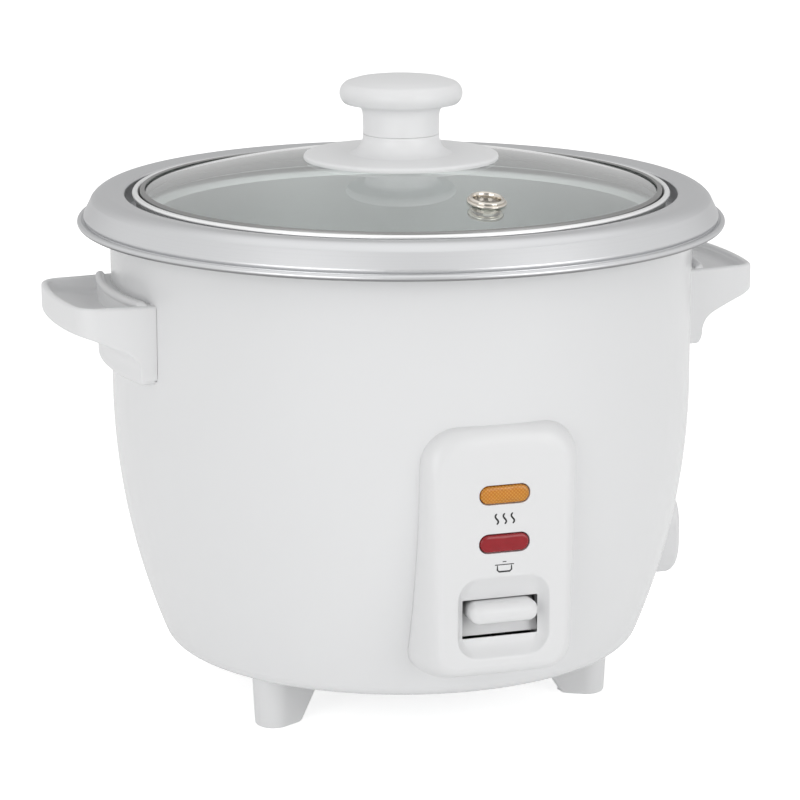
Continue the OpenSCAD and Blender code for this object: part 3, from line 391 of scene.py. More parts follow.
def round_grain(finish, fine, depth, rough, spread):
    """Turned metal: fine rings round the axis in roughness and relief."""
    x, y, z = finish.axes()
    out = (x * x + y * y) ** 0.5
    spot = finish.add("CombineXYZ", {}, {"X": out * fine, "Y": z * fine, "Z": 0.0})["Vector"]
    rings = finish.add("TexNoise", {}, {"Vector": spot, "Scale": 1.0, "Detail": 3.0, "Roughness": 0.7})["Fac"]
    finish.drive(roughness=rings * spread + (rough - spread / 2), normal=finish.bump(rings, depth, 0.6))
    return rings


grain = round_grain(ring_finish, 2600, 0.000004, 0.36, 0.12)
polished = ring_finish.mix(grain, (0.61, 0.615, 0.625), (0.67, 0.675, 0.685))
# Painted shade: the base colour goes dark under the bead, standing in for the shadow gap between the bead and
# the drum
height, bead_shade_top, fade = ring_finish.axes()[2], (bead_edge_z - 0.75) * MM, 2500
painted_bead_shade = ((bead_shade_top - height) * fade).least(1.0).most(0.0)
ring_finish.drive(base_color=ring_finish.mix(painted_bead_shade, polished, (0.3, 0.3, 0.305)))
outline = [(mouth_r, collar_z + ring_sheet), (mouth_r, ridge_z - 1.6)]
outline += arc(mouth_r + 1, ridge_z - 1.6, 1, 180, 100, 6) + arc(*ridge, ridge_round, 100, 36, 20)
outline += arc(ring_r - 3.45, bead_edge_z + 1.15, 1.3, 36, -48, 10) + [(ring_r - 2.5, bead_edge_z - 0.1)]
outline += arc(ring_r - bead_r, bead_edge_z - 0.75, bead_r, 140, -190, 24)
outline += [(ring_r - 3.6, bead_edge_z - 0.3), (ring_r - 3.5, bead_edge_z + 1.2)]
outline += arc(*ridge, ridge_round - ring_sheet, 36, 100, 20)
outline += [(mouth_r + ring_sheet, ridge_z - 2.2), (mouth_r + ring_sheet, collar_z)]
outline += [(throat_r + ring_sheet, collar_z), (throat_r + ring_sheet, throat_z)]
outline += [(throat_r, throat_z), (throat_r, collar_z + ring_sheet)]
piece("rim_ring_satin", spin(outline, 256), ring_finish, "cooker", "rim_ring", sharp=50)

# ---- Legs ----
# Three hollow-screwed feet moulded in the same white plastic as the handles. Each has a round outer
# end and a sloping inner end, and one screw holds it up against the drum's bottom.
white = Finish("white_moulding", base_color=(0.806, 0.809, 0.814), roughness=0.33, specular_ior_level=0.5)
skin = white.noise(700, 2)
white.drive(roughness=white.noise(60, 3) * 0.06 + 0.3, normal=white.bump(skin, 0.000004, 0.25),
            base_color=white.mix(white.noise(9, 1), (0.802, 0.805, 0.81), (0.81, 0.813, 0.818)))
leg_place, leg_nose, leg_draft, leg_slope = 62.5, 5.9, 0.9, 34.0
screw_well, well_end = 3.3, drum_z - 5


def loft(form, loops, close=True):
    """Faces between neighbouring loops of equally many points, given in mm. Returns the loops' vertices."""
    rows = [[form.verts.new(Vector(p) * MM) for p in loop] for loop in loops]
    for one, two in zip(rows, rows[1:]):
        count = len(one)
        for k in range(count if close else count - 1):
            form.faces.new((one[k], one[(k + 1) % count], two[(k + 1) % count], two[k]))
    return rows


def fill(form, rows):
    """Flat face inside the first row of vertices and outside the others."""
    flat = [v for row in rows for v in row]
    for a, b, c in geometry.tessellate_polygon([[v.co for v in row] for row in rows]):
        form.faces.new((flat[a], flat[b], flat[c]))


def leg(name, degrees, node):
    """One leg, turned round the drum's axis by an angle."""
    form = bmesh.new()
    turn = Matrix.Rotation(math.radians(degrees), 3, "Z")
    loops = []
    for z, inset in ((0, 0.7), (0.2, 0.32), (0.7, 0)) + tuple((h, 0) for h in (5, 9, 13, drum_z)):
        share = z / drum_z
        wide = leg_nose + leg_draft * share - inset
        inner = leg_place - 7.5 - z * math.tan(math.radians(leg_slope)) + inset
        outline = rounded([(inner, -wide, 1.6), (leg_place + wide, -wide, wide - 0.01),
                           (leg_place + wide, wide, wide - 0.01), (inner, wide, 1.6)], 10)
        loops.append([turn @ Vector((x, y, z)) for x, y in outline])
    rows = loft(form, loops)
    hole = [[turn @ Vector((leg_place - 6 + r * math.cos(a), r * math.sin(a), z))
             for a in (2 * math.pi * k / 32 for k in range(32))]
            for r, z in ((screw_well + 0.2, 0), (screw_well, 0.2), (screw_well, well_end))]
    well = loft(form, hole)
    fill(form, [rows[0], well[0]])
    fill(form, [well[-1]])
    fill(form, [rows[-1]])
    return piece(name, form, white, "cooker", node, 35)


leg("leg_right", -30, "foot_right")
leg("leg_rear", 90, "foot_rear")
leg("leg_left", 210, "foot_left")

# ---- Handles ----
# Two white mouldings screwed on from inside the drum. Each has a root plate that hugs the drum and
# arches out underneath into a dished tray with a rounded rim, and a round ridge along the root's top.
grip_low, grip_high = (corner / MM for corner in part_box("handle_right"))
rim_z, reach, half_w = bead_edge_z - 19, grip_high.x, 29.5
root_r, skin_r = drum_r - 0.3, drum_r + 4.4
tray_wall, tray_depth, tray_rise, tray_draft, tray_round = 2.2, 5.8, 2.6, 0.5, 2.4
under_round, foot_round, foot_top, ridge_bead = 1.1, 2.6, rim_z - 20, 1.45
arch, arch_r = (skin_r + 8, rim_z - 22), 8
underside = [(root_r, grip_low.z)] + arc(skin_r - 1.5, grip_low.z + 1.5, 1.5, -90, 0, 5)
underside += arc(*arch, arch_r, 180, 118, 16)
bend, tip = Vector(underside[-1]), Vector((reach, rim_z - 8.6))
middle = Vector((bend.x + 5.6, bend.y + 2.95))
underside += [tuple(bend * (1 - t) ** 2 + middle * 2 * t * (1 - t) + tip * t * t)
              for t in (k / 12 for k in range(1, 13))]


def under(r):
    """Height of the underside at a radius beyond the arch's foot."""
    for (r0, z0), (r1, z1) in zip(underside, underside[1:]):
        if r0 <= r <= r1 and r1 > r0 + 1e-6:
            return z0 + (z1 - z0) * (r - r0) / (r1 - r0)
    return underside[0][1] if r < root_r else underside[-1][1]


def tray(r):
    """Height of the tray's floor at a radius."""
    share = max(0.0, min(1.0, (r - skin_r) / (reach - skin_r)))
    return rim_z - tray_depth + tray_rise * share ** 1.3


# The plan: a straight side, a round corner and half of the gently bowed nose. The other half mirrors it.
bow_r, corner_r, corner_y = 120.0, 7.6, half_w - 9.9
bow = math.asin(corner_y / (bow_r - corner_r))
corner_middle = Vector((reach - bow_r + (bow_r - corner_r) * math.cos(bow), corner_y))
side_start, side_end = Vector((drum_r - 20, half_w + 0.4)), corner_middle + Vector((-0.66, 7.57))
side_way = (side_end - side_start).normalized()
side_out = Vector((-side_way.y, side_way.x))
if side_out.y < 0:
    side_out.negate()


def side_point(r, inset):
    """Point of the straight side, moved inwards, at a distance from the drum's axis."""
    level = side_start.dot(side_out) - inset
    return side_out * level + side_way * math.sqrt(max(0.0, r * r - level * level))


def rim_places():
    """Places along the outside: the spot, the way out, and which point of the underside ends there if any."""
    places = [(side_point(r, under_round) + side_out * under_round, side_out, k)
              for k, (r, z) in enumerate(underside) if r < side_end.length - 0.6]
    for middle, r, start, stop, steps in ((corner_middle, corner_r, math.radians(95), bow, 20),
                                          (Vector((reach - bow_r, 0)), bow_r, bow, 0.0, 12)):
        for t in range(1, steps + 1):
            a = start + (stop - start) * t / steps
            out = Vector((math.cos(a), math.sin(a)))
            places.append((middle + out * r, out, None))
    mirrored = [(Vector((p.x, -p.y)), Vector((out.x, -out.y)), k) for p, out, k in places[:-1]]
    return mirrored + places[::-1]


def handle_section(p, out, stop, base_turn):
    """Loop of the moulding at a place of its rim: the underside, the wall, the rim and the tray's floor."""
    foot = p - out * under_round
    foot_r, foot_turn = foot.length, math.atan2(foot.y, foot.x)
    foot_z = under(foot_r) if stop is None else underside[stop][1]

    def fanned(r, r_end, turn_end, z):
        share = 1.0 if r_end - root_r < 1e-6 else (r - root_r) / (r_end - root_r)
        t = base_turn + (turn_end - base_turn) * share
        return Vector((r * math.cos(t), r * math.sin(t), z))

    def beside(inset, z):
        return Vector((*(p - out * inset), z))

    loop = []
    for k, (r, z) in enumerate(underside):
        inside = r < foot_r if stop is None else k <= stop
        loop.append(fanned(r, foot_r, foot_turn, z) if inside else Vector((*foot, foot_z)))
    for a in (math.radians(d) for d in (30, 60, 90)):
        loop.append(beside(under_round * (1 - math.sin(a)), foot_z + under_round * (1 - math.cos(a))))
    wall_low, wall_high = foot_z + under_round, rim_z - tray_wall / 2
    for share in (0.25, 0.5, 0.75, 1.0):
        loop.append(beside(0, wall_low + (wall_high - wall_low) * share))
    for a in (math.radians(d) for d in range(18, 181, 18)):
        loop.append(beside(tray_wall / 2 * (1 - math.cos(a)), wall_high + tray_wall / 2 * math.sin(a)))
    floor_edge = p - out * (tray_wall + tray_draft + tray_round)
    floor_r, floor_turn = floor_edge.length, math.atan2(floor_edge.y, floor_edge.x)
    floor_z = tray(floor_r)
    for share in (0.35, 0.7, 1.0):
        z = wall_high + (floor_z + tray_round - wall_high) * share
        loop.append(beside(tray_wall + tray_draft * share, z))
    for a in (math.radians(d) for d in (25, 50, 70, 90)):
        inset = tray_wall + tray_draft + tray_round * (1 - math.cos(a))
        loop.append(beside(inset, floor_z + tray_round * (1 - math.sin(a))))
    for share in (0.85, 0.7, 0.55, 0.4, 0.2, 0.0):
        r = root_r + (floor_r - root_r) * share
        loop.append(fanned(r, floor_r, floor_turn, tray(r)))
    for spot in loop:
        depth = side_start.dot(side_out) - Vector((spot.x, abs(spot.y))).dot(side_out)
        if depth < foot_round and spot.z < foot_top:
            rise = foot_round - math.sqrt(foot_round ** 2 - (foot_round - max(0.0, depth)) ** 2)
            spot.z += rise * min(1.0, (foot_top - spot.z) / 4)
    return loop


def handle_ridge(form, turn):
    """The root's top and its round ridge, as a bar bent round the drum with ends that sink away."""
    bar = [(root_r, rim_z - 11), (root_r, rim_z - 0.05), (skin_r - 2.9, rim_z - 0.05)]
    bar += arc(skin_r - 0.9, rim_z, ridge_bead, 180, -50, 16)
    bar += [(skin_r - 0.1, rim_z - 1.5), (skin_r + 0.4, rim_z - 11)]
    end = side_point(root_r + 3, tray_wall / 2)
    wide = math.atan2(end.y, end.x) * skin_r
    places = [-wide + e for e in (0.0, 0.12, 0.35, 0.7, 1.1, 1.6, 2.2)]
    places += [(-wide + 2.2) * (1 - k / 12) for k in range(1, 12)] + [0.0]
    places += [-x for x in places[-2::-1]]
    sections = []
    for place in places:
        sunk = max(0.0, 1 - (wide - abs(place)) / 1.8)
        swell = math.sqrt(max(0.0, 1 - sunk ** 2))
        section = []
        for r, z in bar:
            edge = side_point(r, tray_wall / 2)
            t = math.atan2(edge.y, edge.x) * place / wide
            high = rim_z + (z - rim_z) * swell if z > rim_z else z
            section.append(turn @ Vector((r * math.cos(t), r * math.sin(t), high)))
        sections.append(section)
    rows = loft(form, sections)
    fill(form, [rows[0]])
    fill(form, [rows[-1]])


def handle(name, node, degrees):
    """One handle, turned round the drum's axis by an angle."""
    turn = Matrix.Rotation(math.radians(degrees), 3, "Z")
    places = rim_places()
    run = [0.0]
    for (p, *_), (q, *_) in zip(places, places[1:]):
        run.append(run[-1] + (q - p).length)
    root_turn = math.atan2(places[-1][0].y, places[-1][0].x)
    form = bmesh.new()
    loft(form, [[turn @ spot for spot in handle_section(*place, root_turn * (2 * gone / run[-1] - 1))]
                for place, gone in zip(places, run)])
    handle_ridge(form, turn)
    bmesh.ops.remove_doubles(form, verts=form.verts, dist=2e-6)
    return piece(name, form, white, "cooker", node, 50)


handle("handle_right_moulding", "handle_right", 0)
handle("handle_left_moulding", "handle_left", 180)

# ---- Control panel ----
# A hollow white moulding screwed to the front from inside. Its flat face has two lamp openings, two
# printed signs, and a dished recess round the window of the lever.
face_y, panel_wall = (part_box("control_panel")[0] / MM).y, 1.6
face_half, face_z0, face_z1 = 21.5, drum_z + 14, drum_z + 86
foot_half, foot_z0, foot_z1, foot_sink = 25.3, face_z0 - 4.6, face_z1 + 5.2, 0.3
bevel, blend, pull = 1.6, 0.82, 0.62
lens_w, lens_h, warm_z, cook_z = 15.8, 5.4, face_z1 - 16.2, face_z1 - 31.5
window_half, window_z0 = 12.3, face_z0 + 9.9
window_z1 = window_z0 + 12.3
recess_half, recess_z0, recess_z1, recess_depth = 15.0, window_z0 - 5.8, window_z1 + 7.6, 3.6


def upright(half, z0, z1, top_round, low_round, y=0.0, steps=8):
    """Loop of a rounded rectangle that stands across the front, in mm."""
    corners = [(-half, z0, low_round), (half, z0, low_round), (half, z1, top_round), (-half, z1, top_round)]
    return [Vector((x, y, z)) for x, z in rounded(corners, steps)]


def edged(loop, count=12):
    """The same four-cornered loop with points added along its straight edges."""
    side, out = len(loop) // 4, []
    for i in range(4):
        out += loop[i * side:(i + 1) * side]
        a, b = out[-1], loop[(i + 1) * side % len(loop)]
        out += [a.lerp(b, k / count) for k in range(1, count)]
    return out


def hugging(loop, gap):
    """The same loop pushed back onto the drum's side."""
    return [Vector((p.x, -math.sqrt(max(1, (drum_radius(p.z) + gap) ** 2 - p.x ** 2)), p.z)) for p in loop]


def stadium(w, h, z, y, steps=10):
    """Loop with round ends, centred on the panel's middle line."""
    return upright(w / 2, z - h / 2, z + h / 2, h / 2 - 0.01, h / 2 - 0.01, y, steps)


form = bmesh.new()
base = hugging(edged(upright(foot_half, foot_z0, foot_z1, 12, 9)), -foot_sink)
front = edged(upright(face_half - bevel, face_z0 + bevel, face_z1 - bevel, 9, 7, face_y))
loops = [base]
for t in (0.06, 0.13, 0.21, 0.3, 0.4, 0.5, 0.6, 0.7, 0.8, 0.9, 1.0):
    loop = []
    for b, f in zip(base, front):
        turn = Vector((f.x + (b.x - f.x) * blend, f.y, f.z + (b.z - f.z) * blend))
        first, second = b.lerp(turn, pull), f.lerp(turn, pull)
        loop.append(b * (1 - t) ** 3 + first * 3 * t * (1 - t) ** 2 + second * 3 * t * t * (1 - t) + f * t ** 3)
    loops.append(loop)
rows = loft(form, loops)
corner, edge = 7.0, 0.5
dish = [upright(recess_half + edge, recess_z0 - edge, recess_z1 + edge, corner + edge, corner + edge, face_y)]
for share, drop in ((0.0, 0.14), (0.06, 0.42), (0.2, 0.36 * recess_depth), (0.4, 0.62 * recess_depth),
                    (0.65, 0.84 * recess_depth), (0.9, 0.97 * recess_depth), (1.0, recess_depth)):
    half = recess_half + (window_half - recess_half) * share
    low, high = (recess_z0 + (window_z0 - recess_z0) * share, recess_z1 + (window_z1 - recess_z1) * share)
    sharper = corner - 6.6 * share
    dish.append(upright(half, low, high, sharper, sharper, face_y + drop))
sharper, behind = 0.4, face_y + recess_depth + 0.3
dish.append(upright(window_half - 0.02, window_z0 + 0.02, window_z1 - 0.02, sharper, sharper, behind))
dish_rows = loft(form, dish)
grooves = ((0.9, 0), (0.75, 0.1), (0.7, 1.3), (0.2, 1.4))
holes = [loft(form, [stadium(lens_w + gap, lens_h + gap, z, face_y + drop) for gap, drop in grooves])
         for z in (warm_z, cook_z)]
fill(form, [rows[-1], dish_rows[0], holes[0][0], holes[1][0]])
piece("panel_moulding", form, white, "cooker", "control_panel", 60, panel_wall)

# Signs printed in black under the lamps: three wisps of steam for keeping warm, and a pot for cooking.
ink = Finish("printing_ink", base_color=(0.012, 0.012, 0.013), roughness=0.42)
ink.drive(base_color=ink.mix(ink.noise(1800, 2), (0.009, 0.009, 0.01), (0.018, 0.018, 0.019)))


def print_line(form, path, width):
    """A printed line on the panel's face, of even width with narrowed ends."""
    edges = []
    for i, (x, z) in enumerate(path):
        ahead = Vector(path[min(i + 1, len(path) - 1)]) - Vector(path[max(i - 1, 0)])
        across = Vector((-ahead.y, ahead.x)).normalized() * width / 2
        if i in (0, len(path) - 1):
            across *= 0.55
        edges.append(((x + across.x, z + across.y), (x - across.x, z - across.y)))
    for (a, b), (c, d) in zip(edges, edges[1:]):
        front = [form.verts.new(Vector((x, face_y - 0.04, z)) * MM) for x, z in (a, b, d, c)]
        back = [form.verts.new(Vector((x, face_y + 0.02, z)) * MM) for x, z in (a, b, d, c)]
        form.faces.new(front)
        form.faces.new(back[::-1])
        for k in range(4):
            form.faces.new((front[k], back[k], back[(k + 1) % 4], front[(k + 1) % 4]))


sign_z = warm_z - 7.6
form = bmesh.new()
for x in (-2.6, 0, 2.6):
    wisp = [(x + 0.5 * math.sin(k * math.pi / 5), sign_z - 1.7 + 3.4 * k / 10) for k in range(11)]
    print_line(form, wisp, 0.55)
bmesh.ops.remove_doubles(form, verts=form.verts, dist=1e-7)
piece("steam_sign", form, ink, "cooker")

sign_z = cook_z - 7.4
form = bmesh.new()
print_line(form, [(-2.3, sign_z + 0.35), (-2.3, sign_z - 1.1), (-1.7, sign_z - 1.6), (1.7, sign_z - 1.6),
                  (2.3, sign_z - 1.1), (2.3, sign_z + 0.35)], 0.5)
print_line(form, [(-3.1, sign_z + 0.6), (3.1, sign_z + 0.6)], 0.5)
print_line(form, [(-0.6, sign_z + 1.5), (0.6, sign_z + 1.5)], 0.5)
bmesh.ops.remove_doubles(form, verts=form.verts, dist=1e-7)
piece("pot_sign", form, ink, "cooker")

# ---- Lamp lenses ----
# Two clear plastic lenses pushed in from behind: amber with a fine diamond pattern pressed into both
# of its faces, and smooth deep red. A neon bulb lies across the back of each.
diamond_w, knurl_depth, crown_h, grid = 1.15, 0.16, 0.03, 0.32


def lens(name, z, finish, node, pitch):
    """One lens at a height. Its pitch is the diamonds' width, or 0 for smooth faces."""
    form = bmesh.new()
    front, back = face_y - 0.35, face_y + 5.6
    loops = []
    for inset, y in ((0.55, front + 0.06), (0.28, front + 0.16), (0.1, front + 0.34), (0, front + 0.6),
                     (0, back), (1.1, back), (1.1, front + 1.5)):
        loops.append(stadium(lens_w - 2 * inset, lens_h - 2 * inset, z, y))
    rows = loft(form, loops)
    for row, y, depth in ((rows[0], front, crown_h), (rows[-1], front + 1.5, 0.0)):
        rim = [v.co / MM for v in row]
        half, high = max(p.x for p in rim), max(p.z for p in rim) - z
        spots = [Vector((p.x, p.z)) for p in rim]
        inner = [(i * grid, z + k * grid) for i in range(-30, 31) for k in range(-10, 11)
                 if math.hypot(max(0, abs(i * grid) - half + high), k * grid) < high - 0.25]
        points, _, faces, *_ = geometry.delaunay_2d_cdt(spots + [Vector(p) for p in inner], [],
                                                        [list(range(len(spots)))], 1, 1e-6)
        made = list(row) + [None] * (len(points) - len(row))
        for i in range(len(row), len(points)):
            px, pz = points[i]
            knurl = 0.0
            if pitch:
                u, w = (px + pz - z) / pitch, (px - pz + z) / pitch
                knurl = knurl_depth * abs(math.sin(math.pi * u) * math.sin(math.pi * w))
            crown = depth * (1 - ((px / half) ** 2 + ((pz - z) / high) ** 2) / 2)
            made[i] = form.verts.new(Vector((px, y - crown + knurl * (-0.5 if depth else 1.0), pz)) * MM)
        for face in faces:
            form.faces.new([made[i] for i in face])
    return piece(name, form, finish, "cooker", node, 28)


amber = Finish("amber_lens", base_color=(0.90, 0.40, 0.035), roughness=0.16, ior=1.49,
               transmission_weight=0.35)
across, _, up = amber.axes()
per_metre = math.pi / (diamond_w * MM)
diamonds = (((across + up) * per_metre).wave() * ((across - up) * per_metre).wave()).size()
share = diamonds * 0.8 + amber.noise(500, 2) * 0.2
amber.drive(base_color=amber.mix(share, (0.74, 0.22, 0.01), (0.98, 0.52, 0.07)))
lens("lens_amber", warm_z, amber, "warm_lens", diamond_w)
red = Finish("red_lens", base_color=(0.40, 0.008, 0.018), roughness=0.07, ior=1.49, transmission_weight=0.25)
red.drive(base_color=red.mix(red.noise(300, 2), (0.34, 0.006, 0.014), (0.47, 0.012, 0.022)))
lens("lens_red", cook_z, red, "cook_lens", 0)

# ---- Lever ----
# The white thumb piece stands out of the window, with a shallow curtain behind it that keeps the window
# shut. It is pressed onto the steel arm that reaches in under the heating plate.
thumb_y = (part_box("switch_lever")[0] / MM).y
thumb_w, thumb_h, thumb_corner, nose, thumb_back = 21.8, 6.5, 2.9, 2.7, thumb_y + 13.4
thumb_mid = window_z1 - 0.4 - thumb_h / 2
form = bmesh.new()
loops = []
for degrees in (90, 72, 54, 38, 24, 12, 0, None):
    a = math.radians(degrees or 0)
    inset = nose * (1 - math.cos(a))
    y = thumb_back if degrees is None else thumb_y + nose * (1 - math.sin(a))
    corner, high = max(0.35, thumb_corner - inset), thumb_h / 2 - inset
    loops.append(upright(thumb_w / 2 - inset, thumb_mid - high, thumb_mid + high, corner, corner, y))
rows = loft(form, loops)
fill(form, [rows[0]])
fill(form, [rows[-1]])
pivot_y, pivot_z = -50.0, (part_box("lever_pin")[0].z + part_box("lever_pin")[1].z) / 2 / MM
curtain_r, curtain_wall, curtain_half, low_turn, high_turn = 43.1, 1.2, 13.3, 18.4, 42.5
section = [(2 * pivot_y - y, z) for y, z in arc(pivot_y, pivot_z, curtain_r, low_turn, high_turn, 14)
           + arc(pivot_y, pivot_z, curtain_r - curtain_wall, high_turn, low_turn, 14)]
rows = loft(form, [[Vector((x, y, z)) for y, z in section] for x in (-curtain_half, curtain_half)])
fill(form, [rows[0]])
fill(form, [rows[-1]])
piece("thumb_piece", form, white, "lever", "switch_lever", 35)

# ---- Power inlet ----
# A white moulding on the right side, screwed on from inside, with a rounded socket and three round
# brass pins.
mouth_x, inlet_w, inlet_h, inlet_corner, inlet_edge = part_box("inlet_housing")[1].x / MM, 34, 31, 12, 2.2


def sideways(w, h, r, x, push=False):
    """Loop of a rounded rectangle that faces the right side, or lies on the drum where it is pushed."""
    loop = [Vector((x, y, inlet_z + z)) for y, z in
            rounded([(-w / 2, -h / 2, r), (w / 2, -h / 2, r), (w / 2, h / 2, r), (-w / 2, h / 2, r)], 8)]
    if push:
        loop = [Vector((math.sqrt((drum_radius(p.z) + 0.1) ** 2 - p.y ** 2), p.y, p.z)) for p in loop]
    return loop


form = bmesh.new()
loops = [sideways(inlet_w, inlet_h, inlet_corner, 0, True)]
for a in (math.radians(d) for d in (0, 25, 50, 70, 90)):
    inset = inlet_edge * (1 - math.cos(a))
    loops.append(sideways(inlet_w - 2 * inset, inlet_h - 2 * inset, inlet_corner - inset,
                          mouth_x - inlet_edge * (1 - math.sin(a))))
outer = loft(form, loops)
socket = loft(form, [sideways(23.8, 17.8, 3.4, mouth_x), sideways(23.2, 17.2, 3.1, mouth_x - 0.25),
                     sideways(23, 17, 3, mouth_x - 0.7), sideways(23, 17, 3, mouth_x - 12)])
fill(form, [outer[-1], socket[0]])
fill(form, [socket[-1]])
piece("inlet_moulding", form, white, "cooker", "inlet_housing", 45)

# ---- Pot ----
# The pot is drawn from one aluminium sheet. Its wall steps out into a shoulder that hangs in the
# ring's collar, then stands up to a rolled bead round the mouth.
pot_z = (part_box("inner_pot")[0] / MM).z
pot_r, pot_wall, pot_round, shoulder_z = 82.2, 1.0, 22.0, pot_z + 104.4
mouth_step, bead_z = throat_r - 0.6, shoulder_z + 6
pot_finish = Finish("pot_aluminium", base_color=(0.90, 0.905, 0.905), metallic=1.0, roughness=0.42)
grain = round_grain(pot_finish, 1500, 0.000005, 0.42, 0.14)
pot_finish.drive(base_color=pot_finish.mix(grain, (0.88, 0.885, 0.885), (0.93, 0.935, 0.935)))
pot_middle, inner_step = (pot_r - pot_round, pot_z + pot_round), mouth_step - pot_wall
outline = [(0, pot_z)] + arc(*pot_middle, pot_round, -90, 0, 20)
outline += [(pot_r, shoulder_z - 3), (mouth_step, shoulder_z), (mouth_step, bead_z - 0.8)]
outline += arc(mouth_step + 0.3, bead_z, 1, -70, 180, 18)
outline += [(inner_step, bead_z - 1), (inner_step, shoulder_z + 0.6), (pot_r - pot_wall, shoulder_z - 2.4)]
outline += arc(*pot_middle, pot_round - pot_wall, 0, -90, 20) + [(0, pot_z + pot_wall)]
piece("pot_spun", spin(outline, 256), pot_finish, "pot", "inner_pot", 45)

# ---- Lid ----
# A dome of clear toughened glass with a rolled steel band round its edge, a nickel eyelet that lets
# steam out, and a white knob in two pieces held by a screw from below.
band_low, band_high = (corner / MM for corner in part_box("lid_band"))
dome_r, glass_t = 312.0, 3.0
band_r, glass_r = band_high.x, band_high.x - 0.9
knob_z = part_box("lid_glass")[1].z / MM + 0.0164
dome_z = knob_z - dome_r


def dome_at(r, depth=0.0):
    """Height of the dome at a radius, at a depth below its outside."""
    return dome_z + math.sqrt((dome_r - depth) ** 2 - r * r)


glass = Finish("lid_glass")
clear = glass.add("BsdfTransparent", {}, {"Color": (0.958, 0.98, 0.973)})["BSDF"]
shine = glass.add("BsdfGlossy", {}, {"Color": (1.0, 1.0, 1.0), "Roughness": 0.03})["BSDF"]
share = (glass.add("Fresnel", {}, {"IOR": 1.5})["Fac"] * 1.1 + 0.14).least(1.0)
inner_face = glass.add("NewGeometry", {}, {})["Backfacing"]
shadow = glass.add("LightPath", {}, {})["Is Shadow Ray"]
share = share * (1 - shadow) * (1 - inner_face)
glass.end(glass.add("MixShader", {}, {"Fac": share, 1: clear, 2: shine})["Shader"])
steps, hole_r, chamfer = 28, 3.2, 0.5
radii = [hole_r + (glass_r - hole_r) * k / steps for k in range(steps + 1)]
outline = [(r, dome_at(r)) for r in radii[:-1]]
outline += [(glass_r - chamfer, dome_at(glass_r - chamfer)), (glass_r, dome_at(glass_r) - chamfer)]
outline += [(r, dome_at(r, glass_t)) for r in radii[::-1]]
piece("lid_dome", spin(outline, 256), glass, "lid", "lid_glass", 30)
vent_r, vent_place, vent_turn = 6.3, 62.5, 6.0
vent_frame = (Matrix.Rotation(math.radians(vent_turn - 90), 4, "Z")
              @ Matrix.Translation((0, 0, dome_z * MM))
              @ Matrix.Rotation(math.asin(vent_place / dome_r), 4, "Y")
              @ Matrix.Translation((0, 0, dome_r * MM)))

band_steel = Finish("rolled_band", base_color=(0.3, 0.3, 0.297), metallic=1.0, roughness=0.34)
round_grain(band_steel, 1800, 0.000003, 0.34, 0.1)
top_z = dome_at(glass_r)
hem_z = top_z - glass_t - 0.1
outline = [(band_r - 1.8, band_low.z), (band_r - 0.4, band_low.z), (band_r, band_low.z + 0.4)]
outline += [(band_r, top_z + 0.3)] + arc(band_r - 0.6, top_z + 0.3, 0.6, 0, 100, 8)
outline += [(band_r - 1.5, top_z + 0.9), (band_r - 1.6, top_z + 0.65), (band_r - 0.9, top_z + 0.3)]
outline += [(band_r - 0.7, hem_z), (band_r - 1.8, hem_z)]
piece("band_rolled", spin(outline, 256), band_steel, "lid", "lid_band", 50)

nickel = Finish("nickel", base_color=(0.66, 0.62, 0.56), metallic=1.0, roughness=0.12)
nickel.drive(roughness=nickel.noise(900, 3) * 0.1 + 0.08)
outline = [(vent_r - 2.4, -glass_t - 1)] + arc(vent_r - 1.3, -glass_t - 0.7, 0.7, -90, 60, 6)
outline += [(vent_r - 1.75, -glass_t - 0.12), (vent_r - 1.75, 0.04), (vent_r - 0.5, 0.05)]
outline += arc(vent_r - 0.45, 0.5, 0.45, -90, 90, 8) + [(vent_r - 0.75, 0.98)]
outline += arc(vent_r - 1.35, 1.25, 0.62, -20, 180, 12) + [(vent_r - 2.4, 0.6)]
piece("eyelet_rolled", spin(outline, 96, vent_frame), nickel, "lid", "vent_eyelet", 60)

skirt_r, neck_r, cap_r, knob_top = 31.9, 12.4, 19.9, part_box("knob_grip")[1].z / MM
seam_z = knob_z + 6.6
knob_white = Finish("knob_moulding", base_color=(0.885, 0.888, 0.893), roughness=0.3)
skin = knob_white.noise(700, 2)
knob_white.drive(roughness=knob_white.noise(60, 3) * 0.06 + 0.3, normal=knob_white.bump(skin, 0.000006, 0.3))
outline = [(2, knob_z + 0.05), (2, seam_z), (neck_r - 0.15, seam_z), (neck_r, seam_z - 0.2)]
outline += [(neck_r, seam_z - 0.6)] + arc(neck_r + 6, seam_z - 0.6, 6, 180, 255, 16)
skirt_z = dome_at(skirt_r)
outline += [(skirt_r - 4, skirt_z + 2.2)] + arc(skirt_r - 1.3, skirt_z + 0.75, 1.0, 70, -20, 8)
outline += [(skirt_r - 0.35, skirt_z + 0.1)]
outline += [(skirt_r * k / 8, dome_at(skirt_r * k / 8) + 0.05) for k in range(7, 0, -1)]
piece("knob_skirt", spin(outline, 160), knob_white, "lid", "knob_base", 50)
widest = knob_top - 5.7
outline = [(0, seam_z + 0.05), (neck_r - 0.2, seam_z + 0.05), (neck_r, seam_z + 0.25), (neck_r, knob_top - 13)]
outline += [(neck_r + 0.12, knob_top - 11.9), (neck_r + 0.45, knob_top - 10.9), (neck_r + 1.1, knob_top - 10.1),
            (neck_r + 2.1, knob_top - 9.55)]
outline += arc(cap_r - 4, widest, 4, -50, 62, 20)
outline += [((cap_r - 3) * k / 8, knob_top - 1.6 * (k / 8) ** 2) for k in range(7, -1, -1)]
piece("knob_cap", spin(outline, 160), knob_white, "lid", "knob_grip", 50)

# ---- Pieces inside ----
# The plated sheet, screws, switch, heater and thermostat keep their solids and get their own finishes.
# Only the two springs are new meshes.


def dress(finish, *names):
    """Gives solids a finish."""
    for name in names:
        mesh = nodes[name].data
        mesh.materials.clear()
        mesh.materials.append(finish.material)


